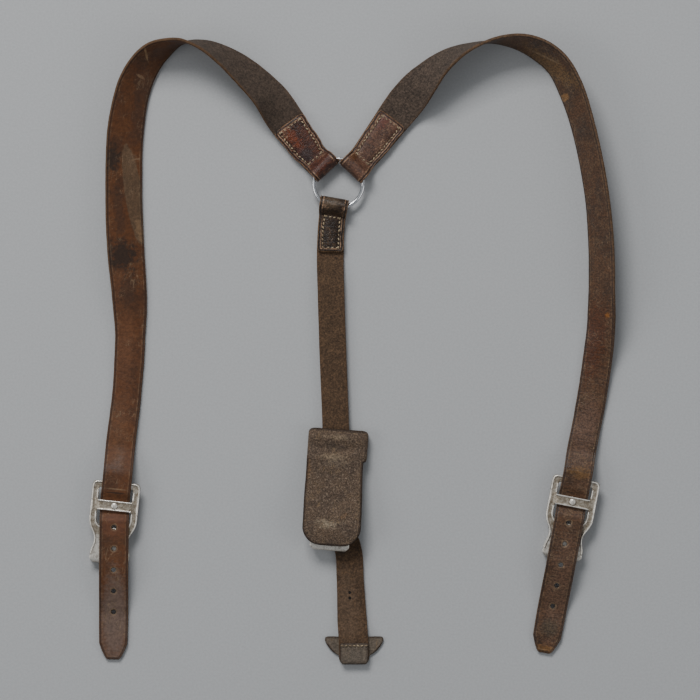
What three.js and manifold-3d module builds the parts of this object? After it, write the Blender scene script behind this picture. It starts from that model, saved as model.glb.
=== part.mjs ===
// Leather Y-strap belt suspenders laid flat: three straps on one steel ring, a belt hook on each
// strap, a chafe pad over the rear hook and a toggle tab on the rear tail. Millimetres, +Z up.
import * as THREE from 'three';
import { mergeVertices } from 'three/addons/utils/BufferGeometryUtils.js';
import Module from 'manifold-3d';

const manifold = await Module();
manifold.setup();

// ---- driving sizes ----
const leather = 2.4;
const gap = 0.3;

const ring = { x: -10.2, y: 133.6, radius: 19.6, wire: 3 };
const loop = { clearance: 0.4, slope: 30, arcSteps: 12 };

const leftLoop = { angle: 133, width: 22.4, patch: 45.5, patchEnd: 28.6 };
const rightLoop = { angle: 46.5, width: 20.6, patch: 50, patchEnd: 25.6 };
const backLoop = { angle: -100, width: 21.4, patch: 37.5, patchEnd: 20.8 };

const shoulder = { wide: 31, atPatch: 29.6, narrow: 23.4, tip: 10, tail: 123, point: 13 };
const back = { width: 21.4, tailWidth: 23.6 };
const holes = { count: 5, pitch: 17, radius: 1.8 };
const stud = { radius: 1.4, head: 2.5, headHeight: 1.3 };

const hook = {
  width: 38.3, leg: 5.6, top: 19.2, topBar: 5.4, crossbar: 8, crossLift: 2.2,
  sheet: 1.6, rim: 0.6, rimWidth: 1.2, depth: 8.6, opening: 17.5, shoulder: 11,
  neck: 27, neckAt: 28, foot: 31.6, footAt: 40, bottom: 46.6, tipAt: 23, slit: 0.8, knob: 2.3,
};
const frontHooks = {
  left: { x: -189, y: -124, turn: -6, tailHeading: -90.7 },
  right: { x: 176.5, y: -120.8, turn: -11, tailHeading: -100.5 },
};
const rearHook = { x: -13.8, y: -113.2, turn: -5 };

const pad = {
  wall: 2.2, turn: -4, width: 48, length: 25, slack: 1.6, top: 50.4,
  neck: 43, flap: 47, flapLength: 68, hingeGap: 0.5,
};
const tab = {
  wall: 1.6, width: 24.4, wings: 47, wingTop: 22.2, wingDepth: 15.4, flap: 17.4, tailEnd: 251, x: 2.3,
};
const thread = { radius: 0.35, inset: 3 };

// ---- sizes that follow ----
const widestLoop = Math.max(leftLoop.width, rightLoop.width, backLoop.width);
const wireSag = ring.radius - Math.sqrt(ring.radius ** 2 - (widestLoop / 2) ** 2);
const boreRadius = wireSag / 2 + ring.wire / 2 + loop.clearance;
const ringHeight = leather + boreRadius;
const hingeRadius = ring.radius - wireSag / 2;

const plateBottom = hook.depth - hook.sheet;
const crossBottom = plateBottom + hook.crossLift;
const overBar = hook.depth + gap;
const underCross = crossBottom - gap - leather;
const overPlate = hook.depth + hook.rim + gap;

const rearFloor = pad.wall + leather + 2 * gap;
const padRoom = leather + 2 * gap + pad.slack;
const rearUnderBar = rearFloor - gap - leather;
const rearOverCross = rearFloor + hook.sheet - hook.crossLift + gap;
const rearUnderPlate = rearFloor - hook.rim - gap - leather;
const padStrapRise = pad.wall + gap;

const looks = {
  leftLeather: { color: 0x5f3a20, roughness: 0.55 },
  rightLeather: { color: 0x4b3a2b, roughness: 0.6 },
  backLeather: { color: 0x3a2c22, roughness: 0.7 },
  padLeather: { color: 0x4a3f38, roughness: 0.8 },
  thread: { color: 0x9a8a6c, roughness: 0.9 },
  steel: { color: 0xb8babc, roughness: 0.3, metalness: 1 },
  hookMetal: { color: 0x8f8b80, roughness: 0.45, metalness: 0.9 },
};

// ---- helpers ----
const up = new THREE.Vector3(0, 0, 1);
const radians = THREE.MathUtils.degToRad;
const suspenders = new THREE.Group();

function heading(degrees) {
  return new THREE.Vector3(Math.cos(radians(degrees)), Math.sin(radians(degrees)), 0);
}

function addMesh(name, geometry, look, parent = suspenders) {
  const mesh = new THREE.Mesh(geometry, new THREE.MeshStandardMaterial(looks[look]));
  mesh.name = name;
  parent.add(mesh);
  return mesh;
}

function toSolid(geometry) {
  const bare = geometry.clone();
  bare.deleteAttribute('normal');
  bare.deleteAttribute('uv');
  const merged = mergeVertices(bare, 1e-4);
  return new manifold.Manifold(new manifold.Mesh({
    numProp: 3,
    vertProperties: new Float32Array(merged.attributes.position.array),
    triVerts: new Uint32Array(merged.index.array),
  }));
}

function toGeometry(solid) {
  const result = solid.getMesh();
  const geometry = new THREE.BufferGeometry();
  geometry.setAttribute('position', new THREE.Float32BufferAttribute(result.vertProperties, 3));
  geometry.setIndex(Array.from(result.triVerts));
  return geometry;
}

function slab(shape, low, high) {
  const geometry = new THREE.ExtrudeGeometry(shape, {
    depth: high - low, bevelEnabled: false, curveSegments: 6,
  });
  return toSolid(geometry.translate(0, 0, low));
}

function block(width, length, low, high, x = 0, y = 0) {
  return toSolid(new THREE.BoxGeometry(width, length, high - low).translate(x, y, (low + high) / 2));
}

function upright(radius, low, high, x = 0, y = 0) {
  const post = new THREE.CylinderGeometry(radius, radius, high - low, 20).rotateX(Math.PI / 2);
  return toSolid(post.translate(x, y, (low + high) / 2));
}

// A strip of rectangular sections; each holds its centre, its across direction and its width.
function strip(sections, thickness) {
  const points = [];
  sections.forEach((section, i) => {
    const before = sections[Math.max(i - 1, 0)].centre;
    const after = sections[Math.min(i + 1, sections.length - 1)].centre;
    const along = after.clone().sub(before).normalize();
    const across = section.across.clone().addScaledVector(along, -along.dot(section.across)).normalize();
    const normal = along.clone().cross(across);
    for (const [a, n] of [[-1, -1], [1, -1], [1, 1], [-1, 1]]) {
      const corner = section.centre.clone().addScaledVector(across, a * section.width / 2);
      corner.addScaledVector(normal, n * thickness / 2);
      points.push(...corner.toArray());
    }
  });
  const faces = [0, 2, 1, 0, 3, 2];
  for (let i = 0; i < sections.length - 1; i += 1) {
    for (let j = 0; j < 4; j += 1) {
      const here = 4 * i + j;
      const next = 4 * i + (j + 1) % 4;
      faces.push(here, next, next + 4, here, next + 4, here + 4);
    }
  }
  const last = 4 * (sections.length - 1);
  faces.push(last, last + 1, last + 2, last, last + 2, last + 3);
  const geometry = new THREE.BufferGeometry();
  geometry.setAttribute('position', new THREE.Float32BufferAttribute(points, 3));
  geometry.setIndex(faces);
  return geometry;
}

function threadAlong(points) {
  const path = new THREE.CatmullRomCurve3(points, false, 'catmullrom', 0.1);
  const circle = new THREE.Shape();
  circle.absarc(0, 0, thread.radius, 0, 2 * Math.PI);
  return new THREE.ExtrudeGeometry(circle, {
    steps: Math.max(4, Math.round(path.getLength() / 4)), curveSegments: 3, extrudePath: path,
  });
}

// ---- straps ----
// A strap's course: [x, y, width, lean, rise], from the ring outwards. Lean turns the strap about
// its own length, 90 stands it on edge and 180 turns it over; rise lifts its lower edge.
function planOf(course) {
  const points = course.map(([x, y]) => new THREE.Vector3(x, y, 0));
  return new THREE.CatmullRomCurve3(points, false, 'centripetal');
}

function courseStations(course, plan, side, step) {
  const stations = [];
  const spans = course.length - 1;
  for (let i = 0; i < spans; i += 1) {
    const [x, y, width, lean, rise] = course[i];
    const [nextX, nextY, nextWidth, nextLean, nextRise] = course[i + 1];
    const count = Math.max(1, Math.ceil(Math.hypot(nextX - x, nextY - y) / step));
    for (let k = 0; k < count + (i === spans - 1 ? 1 : 0); k += 1) {
      const part = k / count;
      const eased = part * part * (3 - 2 * part);
      const t = (i + part) / spans;
      const tilt = radians(THREE.MathUtils.lerp(lean, nextLean, part));
      const stationWidth = THREE.MathUtils.lerp(width, nextWidth, part);
      const centre = plan.getPoint(t);
      const inward = up.clone().cross(plan.getTangent(t)).multiplyScalar(side);
      centre.z = THREE.MathUtils.lerp(rise, nextRise, eased)
        + stationWidth / 2 * Math.abs(Math.sin(tilt)) + leather / 2 * Math.abs(Math.cos(tilt));
      const across = inward.multiplyScalar(Math.cos(tilt)).addScaledVector(up, Math.sin(tilt));
      stations.push({ centre, across, width: stationWidth });
    }
  }
  return stations;
}

// The hinge point of a loop: where the strap's bore runs along the ring's wire.
function loopStart(spec) {
  return new THREE.Vector3(ring.x, ring.y, 0).addScaledVector(heading(spec.angle), hingeRadius);
}

function loopLead(spec, distance, width) {
  const point = loopStart(spec).addScaledVector(heading(spec.angle), distance);
  return [point.x, point.y, width, 0, 0];
}

function patchTop(spec) {
  const middle = boreRadius + leather / 2;
  const flat = leather * 1.5 + gap;
  const start = middle * Math.sin(radians(loop.slope));
  const high = ringHeight + middle * Math.cos(radians(loop.slope));
  const flatFrom = start + (high - flat) / Math.tan(radians(loop.slope));
  return { middle, flat, flatFrom };
}

function patchWidth(spec, distance) {
  const { flatFrom } = patchTop(spec);
  const part = THREE.MathUtils.clamp((distance - flatFrom) / (spec.patch - flatFrom), 0, 1);
  return THREE.MathUtils.lerp(spec.width, spec.patchEnd, Math.sqrt(part));
}

// The folded-back end: from the patch's free edge, over the ring and back under it.
function loopSections(spec, plan, side) {
  const { middle, flat, flatFrom } = patchTop(spec);
  const corner = 3;
  const sections = [];
  const place = (distance, height, width) => {
    const t = Math.max(distance, 0) / plan.getLength();
    const centre = plan.getPointAt(t);
    const along = plan.getTangentAt(t);
    centre.addScaledVector(along, Math.min(distance, 0));
    centre.z = height;
    sections.push({ centre, across: up.clone().cross(along).multiplyScalar(side), width });
  };
  place(spec.patch, flat, spec.patchEnd - 2 * corner);
  place(spec.patch - 0.3 * corner, flat, spec.patchEnd - 0.6 * corner);
  const flatSteps = 8;
  for (let i = 0; i <= flatSteps; i += 1) {
    const distance = THREE.MathUtils.lerp(spec.patch - corner, flatFrom, i / flatSteps);
    place(distance, flat, patchWidth(spec, distance));
  }
  for (let i = 0; i < loop.arcSteps; i += 1) {
    const angle = radians(THREE.MathUtils.lerp(90 - loop.slope, 270, i / loop.arcSteps));
    place(middle * Math.cos(angle), ringHeight + middle * Math.sin(angle), spec.width);
  }
  return sections;
}

function holeCuts(place) {
  const cuts = [upright(holes.radius, -1, 20, place.x, place.y)];
  for (let i = 1; i <= holes.count; i += 1) {
    const point = heading(place.tailHeading).multiplyScalar(i * holes.pitch);
    cuts.push(upright(holes.radius, -1, 20, place.x + point.x, place.y + point.y));
  }
  return cuts;
}

function addStrap(name, course, spec, side, cuts, look) {
  const plan = planOf(course);
  const sections = [...loopSections(spec, plan, side), ...courseStations(course, plan, side, 9)];
  let solid = toSolid(strip(sections, leather));
  for (const cut of cuts) solid = solid.subtract(cut);
  addMesh(name, toGeometry(solid), look);
  addLoopSeams(name.replace('_strap', ''), spec, plan);
}

function addLoopSeams(prefix, spec, plan) {
  const { flat, flatFrom } = patchTop(spec);
  const height = flat + leather / 2 + gap + thread.radius;
  const seamPoint = (distance, sign) => {
    const t = distance / plan.getLength();
    const across = up.clone().cross(plan.getTangentAt(t));
    const point = plan.getPointAt(t);
    point.addScaledVector(across, sign * (patchWidth(spec, distance) / 2 - thread.inset));
    return point.setZ(height);
  };
  const first = flatFrom + thread.inset;
  const last = spec.patch - thread.inset;
  const middle = (first + last) / 2;
  const edge = [[first, -1], [middle, -1], [last, -1], [last, 1], [middle, 1], [first, 1]];
  addMesh(`${prefix}_patch_seam`, threadAlong(edge.map(([d, s]) => seamPoint(d, s))), 'thread');
  const neck = [seamPoint(flatFrom + 1, -0.8), seamPoint(flatFrom + 1, 0.8)];
  addMesh(`${prefix}_neck_seam`, threadAlong(neck), 'thread');
}

// Through a front hook: over its top bar, under its crossbar at the stud, over its plate, and a
// tail that comes down to the floor and ends in a blunt point.
function buckleCourse(place) {
  const at = (distance) => {
    const direction = distance > 0 ? heading(90 + place.turn) : heading(place.tailHeading);
    const point = direction.multiplyScalar(Math.abs(distance));
    return [place.x + point.x, place.y + point.y];
  };
  const barEdge = hook.top - hook.topBar - 6 * gap;
  const width = shoulder.narrow;
  return [
    [...at(hook.top + 5), width, 180, overBar],
    [...at(barEdge), width, 180, overBar],
    [...at(hook.crossbar / 2 + gap), width, 180, underCross],
    [...at(-hook.crossbar / 2 - 4 * gap), width, 180, underCross],
    [...at(-13.4), width, 180, overPlate],
    [...at(-hook.bottom), width, 180, overPlate],
    [...at(-hook.bottom - 44), width, 180, 0],
    [...at(shoulder.point - shoulder.tail), width - 0.8, 180, 0],
    [...at(4 - shoulder.tail), shoulder.tip + 5, 180, 0],
    [...at(-shoulder.tail), shoulder.tip, 180, 0],
  ];
}

function leftCourse() {
  const { wide, atPatch, narrow } = shoulder;
  return [
    loopLead(leftLoop, 0, leftLoop.width),
    loopLead(leftLoop, 13, leftLoop.width + 1),
    [-51.8, 183.2, atPatch, 4, 0],
    [-66.2, 203.6, wide, 33, 0],
    [-84.6, 221.7, wide, 44, 0],
    [-101, 234.2, wide, 58, 0],
    [-117.6, 242.9, wide, 73, 0],
    [-134.6, 246, wide, 90, 0],
    [-149, 241.4, wide, 114, 0],
    [-159.5, 234, wide, 131, 0],
    [-171.5, 215, wide, 145, 0],
    [-179.6, 180, wide, 154, 0],
    [-181.6, 130, wide, 158, 0],
    [-180, 80, wide, 158, 0],
    [-177.2, 44, wide - 2, 162, 0],
    [-176.7, 14, narrow + 0.6, 175, 0],
    [-179.5, -34, narrow, 180, 0],
    [-184.3, -74, narrow, 180, 1.5],
    ...buckleCourse(frontHooks.left),
  ];
}

function rightCourse() {
  const { wide, atPatch, narrow } = shoulder;
  return [
    loopLead(rightLoop, 0, rightLoop.width),
    loopLead(rightLoop, 13, rightLoop.width + 2),
    [42.6, 197.3, atPatch, 4, 0],
    [59, 216.2, wide, 40, 0],
    [69.6, 227, wide, 54, 0],
    [79.6, 234.4, wide, 64, 0],
    [92, 240.8, wide, 77, 0],
    [111.8, 246.6, wide, 90, 0],
    [133.4, 246, wide, 109, 0],
    [150, 239.6, wide, 121, 0],
    [164.2, 228.2, wide, 123, 0],
    [175.2, 208, wide, 125, 0],
    [185.4, 176, wide, 122, 0],
    [195, 128, wide, 122, 0],
    [199, 86, wide, 126, 0],
    [199.6, 44, wide - 1, 128, 0],
    [199.2, 18, narrow + 2, 146, 0],
    [196.4, -10, narrow, 172, 0],
    [190.3, -49, narrow, 180, 0],
    [184.4, -78, narrow, 180, 2.5],
    ...buckleCourse(frontHooks.right),
  ];
}

// The rear strap lies level under the pad, runs under the rear hook's top bar, over its crossbar
// and under its plate, and its tail ends inside the fold of the tab.
function backCourse() {
  const { width, tailWidth } = back;
  const at = (distance) => {
    const point = heading(90 + rearHook.turn).multiplyScalar(distance);
    return [rearHook.x + point.x, rearHook.y + point.y];
  };
  const end = -tab.tailEnd + tab.wall + gap + 2;
  return [
    loopLead(backLoop, 0, backLoop.width),
    loopLead(backLoop, 13, backLoop.width),
    [-16.8, 76, width, 0, 0],
    [-16.2, 46, width, 0, padStrapRise],
    [-14.6, -4, width, 0, padStrapRise],
    [-12.4, -62, width, 0, padStrapRise],
    [...at(hook.top), width, 0, rearUnderBar],
    [...at(hook.top - hook.topBar), width, 0, rearUnderBar],
    [...at(hook.crossbar / 2 + 0.3), width, 0, rearOverCross],
    [...at(-hook.crossbar / 2 - 0.3), width, 0, rearOverCross],
    [...at(-13), width, 0, rearUnderPlate],
    [-10.6, -142, width, 0, rearUnderPlate],
    [-3.6, -160, width, 0, 0],
    [-0.8, -184, tailWidth - 2, 0, 0],
    [0.7, -216, tailWidth, 0, 0],
    [1.6, -tab.tailEnd + tab.wingTop, tailWidth, 0, tab.wall + gap],
    [tab.x, end, tailWidth, 0, tab.wall + gap],
  ];
}

// ---- hooks ----
// Hook sizes are in its own axes: x across, y up the strap from the stud, z away from the belt.
function hookOutline(inset) {
  const half = hook.width / 2 - inset;
  const neck = hook.neck / 2 - inset;
  const foot = hook.foot / 2 - inset;
  const top = hook.top - inset;
  const shape = new THREE.Shape();
  shape.moveTo(half, top - 4);
  shape.quadraticCurveTo(half, top, half - 4, top);
  shape.lineTo(4 - half, top);
  shape.quadraticCurveTo(-half, top, -half, top - 4);
  shape.lineTo(-half, -hook.shoulder);
  shape.bezierCurveTo(-half, -hook.shoulder - 8, -neck, -hook.neckAt + 6, -neck, -hook.neckAt);
  shape.bezierCurveTo(-neck, -hook.neckAt - 5, -foot, -hook.footAt + 5, -foot, -hook.footAt);
  shape.lineTo(-foot, -hook.bottom + 3);
  shape.lineTo(3 - foot, -hook.bottom - 0.1);
  shape.lineTo(foot - 3, -hook.bottom - 0.1);
  shape.lineTo(foot, -hook.bottom + 3);
  shape.lineTo(foot, -hook.footAt);
  shape.bezierCurveTo(foot, -hook.footAt + 5, neck, -hook.neckAt - 5, neck, -hook.neckAt);
  shape.bezierCurveTo(neck, -hook.neckAt + 6, half, -hook.shoulder - 8, half, -hook.shoulder);
  return shape;
}

// The whole space inside the frame, which the raised crossbar bridges.
function frameOpening(grow) {
  const half = hook.width / 2 - hook.leg + grow;
  const high = hook.top - hook.topBar + grow;
  const bottom = hook.opening + grow;
  const shape = new THREE.Shape();
  shape.moveTo(half, high);
  shape.lineTo(-half, high);
  shape.lineTo(-half, -9);
  shape.bezierCurveTo(-half, -bottom + 1.5, -half + 3.5, -bottom, -half + 8, -bottom);
  shape.lineTo(half - 8, -bottom);
  shape.bezierCurveTo(half - 3.5, -bottom, half, -bottom + 1.5, half, -9);
  return shape;
}

// The belt hook seen from the side: plate, bend and returning tip, as wide as the foot.
function hookBend() {
  const { depth, sheet, bottom, tipAt } = hook;
  const radius = depth / 2;
  const side = new THREE.Shape();
  side.moveTo(-tipAt, depth);
  side.lineTo(-bottom + radius, depth);
  side.absarc(-bottom + radius, radius, radius, Math.PI / 2, 1.5 * Math.PI, false);
  side.lineTo(-tipAt, 0);
  side.lineTo(-tipAt, sheet);
  side.lineTo(-bottom + radius, sheet);
  side.absarc(-bottom + radius, radius, radius - sheet, 1.5 * Math.PI, Math.PI / 2, true);
  side.lineTo(-tipAt, plateBottom);
  const bar = new THREE.ExtrudeGeometry(side, { depth: hook.width, bevelEnabled: false, curveSegments: 8 });
  bar.applyMatrix4(new THREE.Matrix4().set(
    0, 0, 1, -hook.width / 2,
    1, 0, 0, 0,
    0, 1, 0, 0,
    0, 0, 0, 1,
  ));
  return toSolid(bar);
}

function hookGeometry() {
  const { depth, rim, rimWidth, crossbar, leg, width, sheet } = hook;
  const far = hook.bottom + 5;
  const body = slab(hookOutline(0), plateBottom, depth)
    .subtract(block(width + 2, far, plateBottom - 1, depth + 1, 0, -hook.neckAt - far / 2));
  const bend = hookBend().intersect(slab(hookOutline(0), -1, depth + 1));
  let solid = body.add(bend);
  const outerRim = slab(hookOutline(0), plateBottom, depth + rim)
    .subtract(slab(hookOutline(rimWidth), plateBottom - 1, depth + rim + 1))
    .subtract(block(width + 2, far, 0, depth + rim + 1, 0, -hook.footAt - far / 2))
    .subtract(block(width - 2 * leg, 2 * far, 0, depth + rim + 1, 0, hook.top - hook.topBar + far));
  const innerRim = slab(frameOpening(rimWidth), plateBottom, depth + rim)
    .subtract(block(width - 2 * leg, 2 * far, 0, depth + rim + 1, 0, hook.top - hook.topBar - 1 + far));
  solid = solid.add(outerRim).add(innerRim);
  solid = solid.subtract(slab(frameOpening(0), plateBottom - 1, depth + rim + 1));
  const inner = width / 2 - leg;
  solid = solid.subtract(block(hook.slit, hook.topBar + 2, 0, depth + 2, inner, hook.top - hook.topBar / 2 + 1));
  for (const sign of [-1, 1]) {
    const middle = sign * (inner + leg / 2);
    solid = solid.add(block(leg, crossbar, plateBottom, crossBottom + sheet, middle));
  }
  solid = solid.add(block(width - leg, crossbar, crossBottom, crossBottom + sheet));
  const knob = new THREE.SphereGeometry(hook.knob, 12, 8).scale(0.9, 1, 0.4);
  const knobX = inner - hook.slit / 2 - hook.knob * 0.9 - 0.1;
  knob.translate(knobX, hook.top - hook.topBar / 2, plateBottom + sheet / 2);
  solid = solid.add(toSolid(knob));
  solid = solid.subtract(upright(stud.radius + gap, crossBottom - 1, crossBottom + sheet + 1));
  return toGeometry(solid);
}

function studGeometry() {
  const low = underCross - 1.1;
  const seat = crossBottom + hook.sheet + gap;
  const profile = [
    [0, low], [stud.radius, low + 0.4], [stud.radius, seat], [stud.head, seat],
    [stud.head * 0.86, seat + stud.headHeight * 0.6], [0, seat + stud.headHeight],
  ];
  const points = profile.map(([r, z]) => new THREE.Vector2(r, z));
  return new THREE.LatheGeometry(points, 16).rotateX(Math.PI / 2);
}

function addHook(prefix, place, rear) {
  const holder = new THREE.Group();
  holder.position.set(place.x, place.y, rear ? rearFloor + hook.depth : 0);
  holder.rotation.set(0, rear ? Math.PI : 0, radians(place.turn), 'ZYX');
  suspenders.add(holder);
  addMesh(`${prefix}_hook`, hookGeometry(), 'hookMetal', holder);
  addMesh(`${prefix}_stud`, studGeometry(), 'hookMetal', holder);
}

// ---- pad ----
// Pad sizes are in its own axes: x across, y up the strap with 0 at the sleeve's lower edge.
function padPlace() {
  const low = rearHook.y + pad.top - pad.length;
  return new THREE.Vector3(rearHook.x + 2.2, low, 0);
}

function addPad() {
  const holder = new THREE.Group();
  holder.position.copy(padPlace());
  holder.rotation.z = radians(pad.turn);
  suspenders.add(holder);
  const high = 2 * pad.wall + padRoom;
  let sleeve = block(pad.width, pad.length, 0, high, 0, pad.length / 2);
  const room = block(pad.width - 2 * pad.wall, pad.length + 2, pad.wall, high - pad.wall, 0, pad.length / 2);
  const groove = block(1.4, pad.length - 4, -1, 1, 0, pad.length / 2);
  sleeve = sleeve.subtract(room).subtract(groove);
  addMesh('pad_loop', toGeometry(sleeve), 'padLeather', holder);
  const seam = [3, 3 + (pad.length - 6) / 2, pad.length - 3];
  const seamHeight = 1 - gap - thread.radius;
  addMesh('pad_seam', threadAlong(seam.map((y) => new THREE.Vector3(0, y, seamHeight))), 'thread', holder);
  addMesh('pad_flap', padFlap(high), 'padLeather', holder);
}

// The flap climbs from the sleeve's front wall over the rear hook's tip and has a rounded end.
function padFlap(high) {
  const clear = rearFloor + hook.depth + gap;
  const tip = pad.top - pad.length + hook.tipAt;
  const middle = (height) => height + pad.wall / 2;
  const start = high - pad.wall;
  const half = (start + clear) / 2;
  const end = pad.flapLength;
  const course = [
    [pad.hingeGap, start, pad.neck], [7, start + 0.8, pad.neck - 0.4], [16, start + 1.8, pad.neck + 1.2],
    [tip * 0.55, half - 0.4, pad.flap], [tip * 0.8, clear - 1, pad.flap], [tip - 4, clear, pad.flap],
    [end - 16, clear, pad.flap], [end - 9, clear, pad.flap - 3], [end - 4, clear, pad.flap - 10],
    [end - 1, clear, pad.flap - 20], [end, clear, pad.flap - 28],
  ];
  const across = new THREE.Vector3(1, 0, 0);
  const sections = course.map(([y, z, width]) => (
    { centre: new THREE.Vector3(0, -y, middle(z)), across, width }
  ));
  return strip(sections, pad.wall);
}

// ---- toggle tab ----
function addTab() {
  const room = leather + 2 * gap;
  const radius = tab.wall + room / 2;
  const bendY = -tab.tailEnd + radius;
  const flapTop = -tab.tailEnd + tab.flap;
  const wingTop = -tab.tailEnd + tab.wingTop;
  const side = new THREE.Shape();
  side.moveTo(wingTop, 0);
  side.lineTo(wingTop, tab.wall);
  side.lineTo(bendY, tab.wall);
  side.absarc(bendY, radius, radius - tab.wall, 1.5 * Math.PI, Math.PI / 2, true);
  side.lineTo(flapTop, 2 * radius - tab.wall);
  side.lineTo(flapTop, 2 * radius);
  side.lineTo(bendY, 2 * radius);
  side.absarc(bendY, radius, radius, Math.PI / 2, 1.5 * Math.PI, false);
  const fold = new THREE.ExtrudeGeometry(side, { depth: tab.width, bevelEnabled: false, curveSegments: 6 });
  fold.applyMatrix4(new THREE.Matrix4().set(
    0, 0, 1, tab.x - tab.width / 2,
    1, 0, 0, 0,
    0, 1, 0, 0,
    0, 0, 0, 1,
  ));
  const half = tab.wings / 2;
  const wings = new THREE.Shape();
  wings.moveTo(half - 1, wingTop);
  wings.lineTo(1 - half, wingTop);
  wings.quadraticCurveTo(-half, wingTop, -half, wingTop - 3);
  wings.quadraticCurveTo(4 - half, wingTop - 13, 12 - half, wingTop - tab.wingDepth);
  wings.lineTo(half - 12, wingTop - tab.wingDepth);
  wings.quadraticCurveTo(half - 4, wingTop - 13, half, wingTop - 3);
  wings.quadraticCurveTo(half, wingTop, half - 1, wingTop);
  const wingSlab = slab(wings, 0, tab.wall).translate([tab.x, 0, 0]);
  addMesh('end_tab', toGeometry(toSolid(fold).add(wingSlab)), 'padLeather');
  const seamY = flapTop - 2.2;
  const reach = tab.width / 2 - 3;
  const seam = [-reach, 0, reach].map((x) => (
    new THREE.Vector3(tab.x + x, seamY, 2 * radius + gap + thread.radius)
  ));
  addMesh('end_tab_seam', threadAlong(seam), 'thread');
}

// ---- assembly ----
function addRing() {
  const torus = new THREE.TorusGeometry(ring.radius, ring.wire / 2, 10, 56);
  addMesh('ring', torus.translate(ring.x, ring.y, ringHeight), 'steel');
}

function rearStudHole() {
  return upright(holes.radius, -1, 30, rearHook.x, rearHook.y);
}

addRing();
addStrap('left_strap', leftCourse(), leftLoop, 1, holeCuts(frontHooks.left), 'leftLeather');
addStrap('right_strap', rightCourse(), rightLoop, -1, holeCuts(frontHooks.right), 'rightLeather');
addStrap('back_strap', backCourse(), backLoop, 1, [rearStudHole()], 'backLeather');
addHook('left', frontHooks.left, false);
addHook('right', frontHooks.right, false);
addHook('rear', rearHook, true);
addPad();
addTab();

// The origin is the middle of the footprint, on the floor.
suspenders.updateMatrixWorld(true);
const box = new THREE.Box3().setFromObject(suspenders, true);
suspenders.position.set(-(box.min.x + box.max.x) / 2, -(box.min.y + box.max.y) / 2, -box.min.z);
suspenders.updateMatrixWorld(true);

export default suspenders;
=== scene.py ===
# Leather Y-strap belt suspenders laid flat: fine leather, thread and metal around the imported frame.
# Sizes are millimetres until a mesh is made, then metres; +Z is up and the belt side is below.
import math

import bmesh
import bpy
import numpy as np
from mathutils import Matrix, Vector


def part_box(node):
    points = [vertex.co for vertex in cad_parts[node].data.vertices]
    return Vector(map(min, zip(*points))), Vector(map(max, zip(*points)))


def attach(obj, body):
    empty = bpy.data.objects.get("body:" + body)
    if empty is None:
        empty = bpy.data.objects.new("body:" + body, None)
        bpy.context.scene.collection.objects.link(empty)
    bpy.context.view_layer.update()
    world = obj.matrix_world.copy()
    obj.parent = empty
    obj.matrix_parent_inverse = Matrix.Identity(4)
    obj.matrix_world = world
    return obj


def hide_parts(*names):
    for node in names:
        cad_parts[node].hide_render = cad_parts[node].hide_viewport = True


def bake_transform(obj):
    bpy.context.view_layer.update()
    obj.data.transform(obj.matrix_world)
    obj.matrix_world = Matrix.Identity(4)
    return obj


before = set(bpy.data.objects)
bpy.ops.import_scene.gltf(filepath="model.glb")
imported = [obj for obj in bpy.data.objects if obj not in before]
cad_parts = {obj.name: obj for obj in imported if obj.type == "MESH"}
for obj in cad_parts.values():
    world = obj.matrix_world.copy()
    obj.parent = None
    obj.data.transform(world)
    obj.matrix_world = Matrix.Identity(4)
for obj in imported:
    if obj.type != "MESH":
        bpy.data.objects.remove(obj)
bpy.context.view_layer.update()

mm = 0.001
leather = 2.4      # thickness of every strap
gap = 0.3          # play between parts that touch
holePitch = 17.0   # from one punched hole of a tail to the next
tailHoles = 6

ringSizes = {"x": -10.2, "y": 133.6, "radius": 19.6, "wire": 3.0, "rings": 120, "facets": 20, "weld": 0.22}
boreRadius = (ringSizes["radius"] - math.sqrt(ringSizes["radius"] ** 2 - 11.2 ** 2)) / 2 + 1.9
ringHeight = leather + boreRadius
hingeRadius = ringSizes["radius"] - (boreRadius - 1.9)

ringLow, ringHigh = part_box("ring")
ringMiddle = (ringLow + ringHigh) / 2 / mm
shift = np.array(ringMiddle) - np.array([ringSizes["x"], ringSizes["y"], ringHeight])   # drawing to frame

# Where each front hook's stud stands in the drawing, and which way its strap's tail runs
leftHookAt = {"x": -189.0, "y": -124.0, "turn": -6.0, "tailHeading": -90.7}
rightHookAt = {"x": 176.5, "y": -120.8, "turn": -11.0, "tailHeading": -100.5}


# Mesh helpers
def heading(degrees):
    return np.array([math.cos(math.radians(degrees)), math.sin(math.radians(degrees))])


def easeBetween(value, low, high):
    part = np.clip((value - low) / (high - low), 0, 1)
    return part * part * (3 - 2 * part)


def hump(value, centre, spread):
    return np.exp(-((value - centre) / spread) ** 2)


def softened(values, rounds, keep=None):   # three-point averaging; keep is 1 where nothing may move
    result = np.array(values, float)
    for _ in range(rounds):
        moved = result.copy()
        moved[1:-1] = (result[:-2] + 2 * result[1:-1] + result[2:]) / 4
        result = moved if keep is None else moved * (1 - keep) + result * keep
    return result


def wander(along, seed, waves=((83, 0.5), (37, 0.3), (13, 0.2))):   # smooth unevenness between -1 and 1
    total = np.zeros_like(along, float)
    for order, (length, share) in enumerate(waves):
        total += share * np.sin(2 * math.pi * along / length + seed * 1.7 + order * 2.1)
    return total


def addObject(name, data):
    made = bpy.data.objects.new(name, data)
    bpy.context.scene.collection.objects.link(made)
    return made


def addPiece(name, points, faces, materials, smooth=True):
    mesh = bpy.data.meshes.new(name)
    mesh.from_pydata([tuple(p) for p in np.asarray(points) * mm], [], faces)
    for material in materials:
        mesh.materials.append(material)
    mesh.validate()
    shell = bmesh.new()
    shell.from_mesh(mesh)
    bmesh.ops.recalc_face_normals(shell, faces=shell.faces)
    shell.to_mesh(mesh)
    shell.free()
    mesh.polygons.foreach_set("use_smooth", [smooth] * len(mesh.polygons))
    return addObject(name, mesh)


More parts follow.
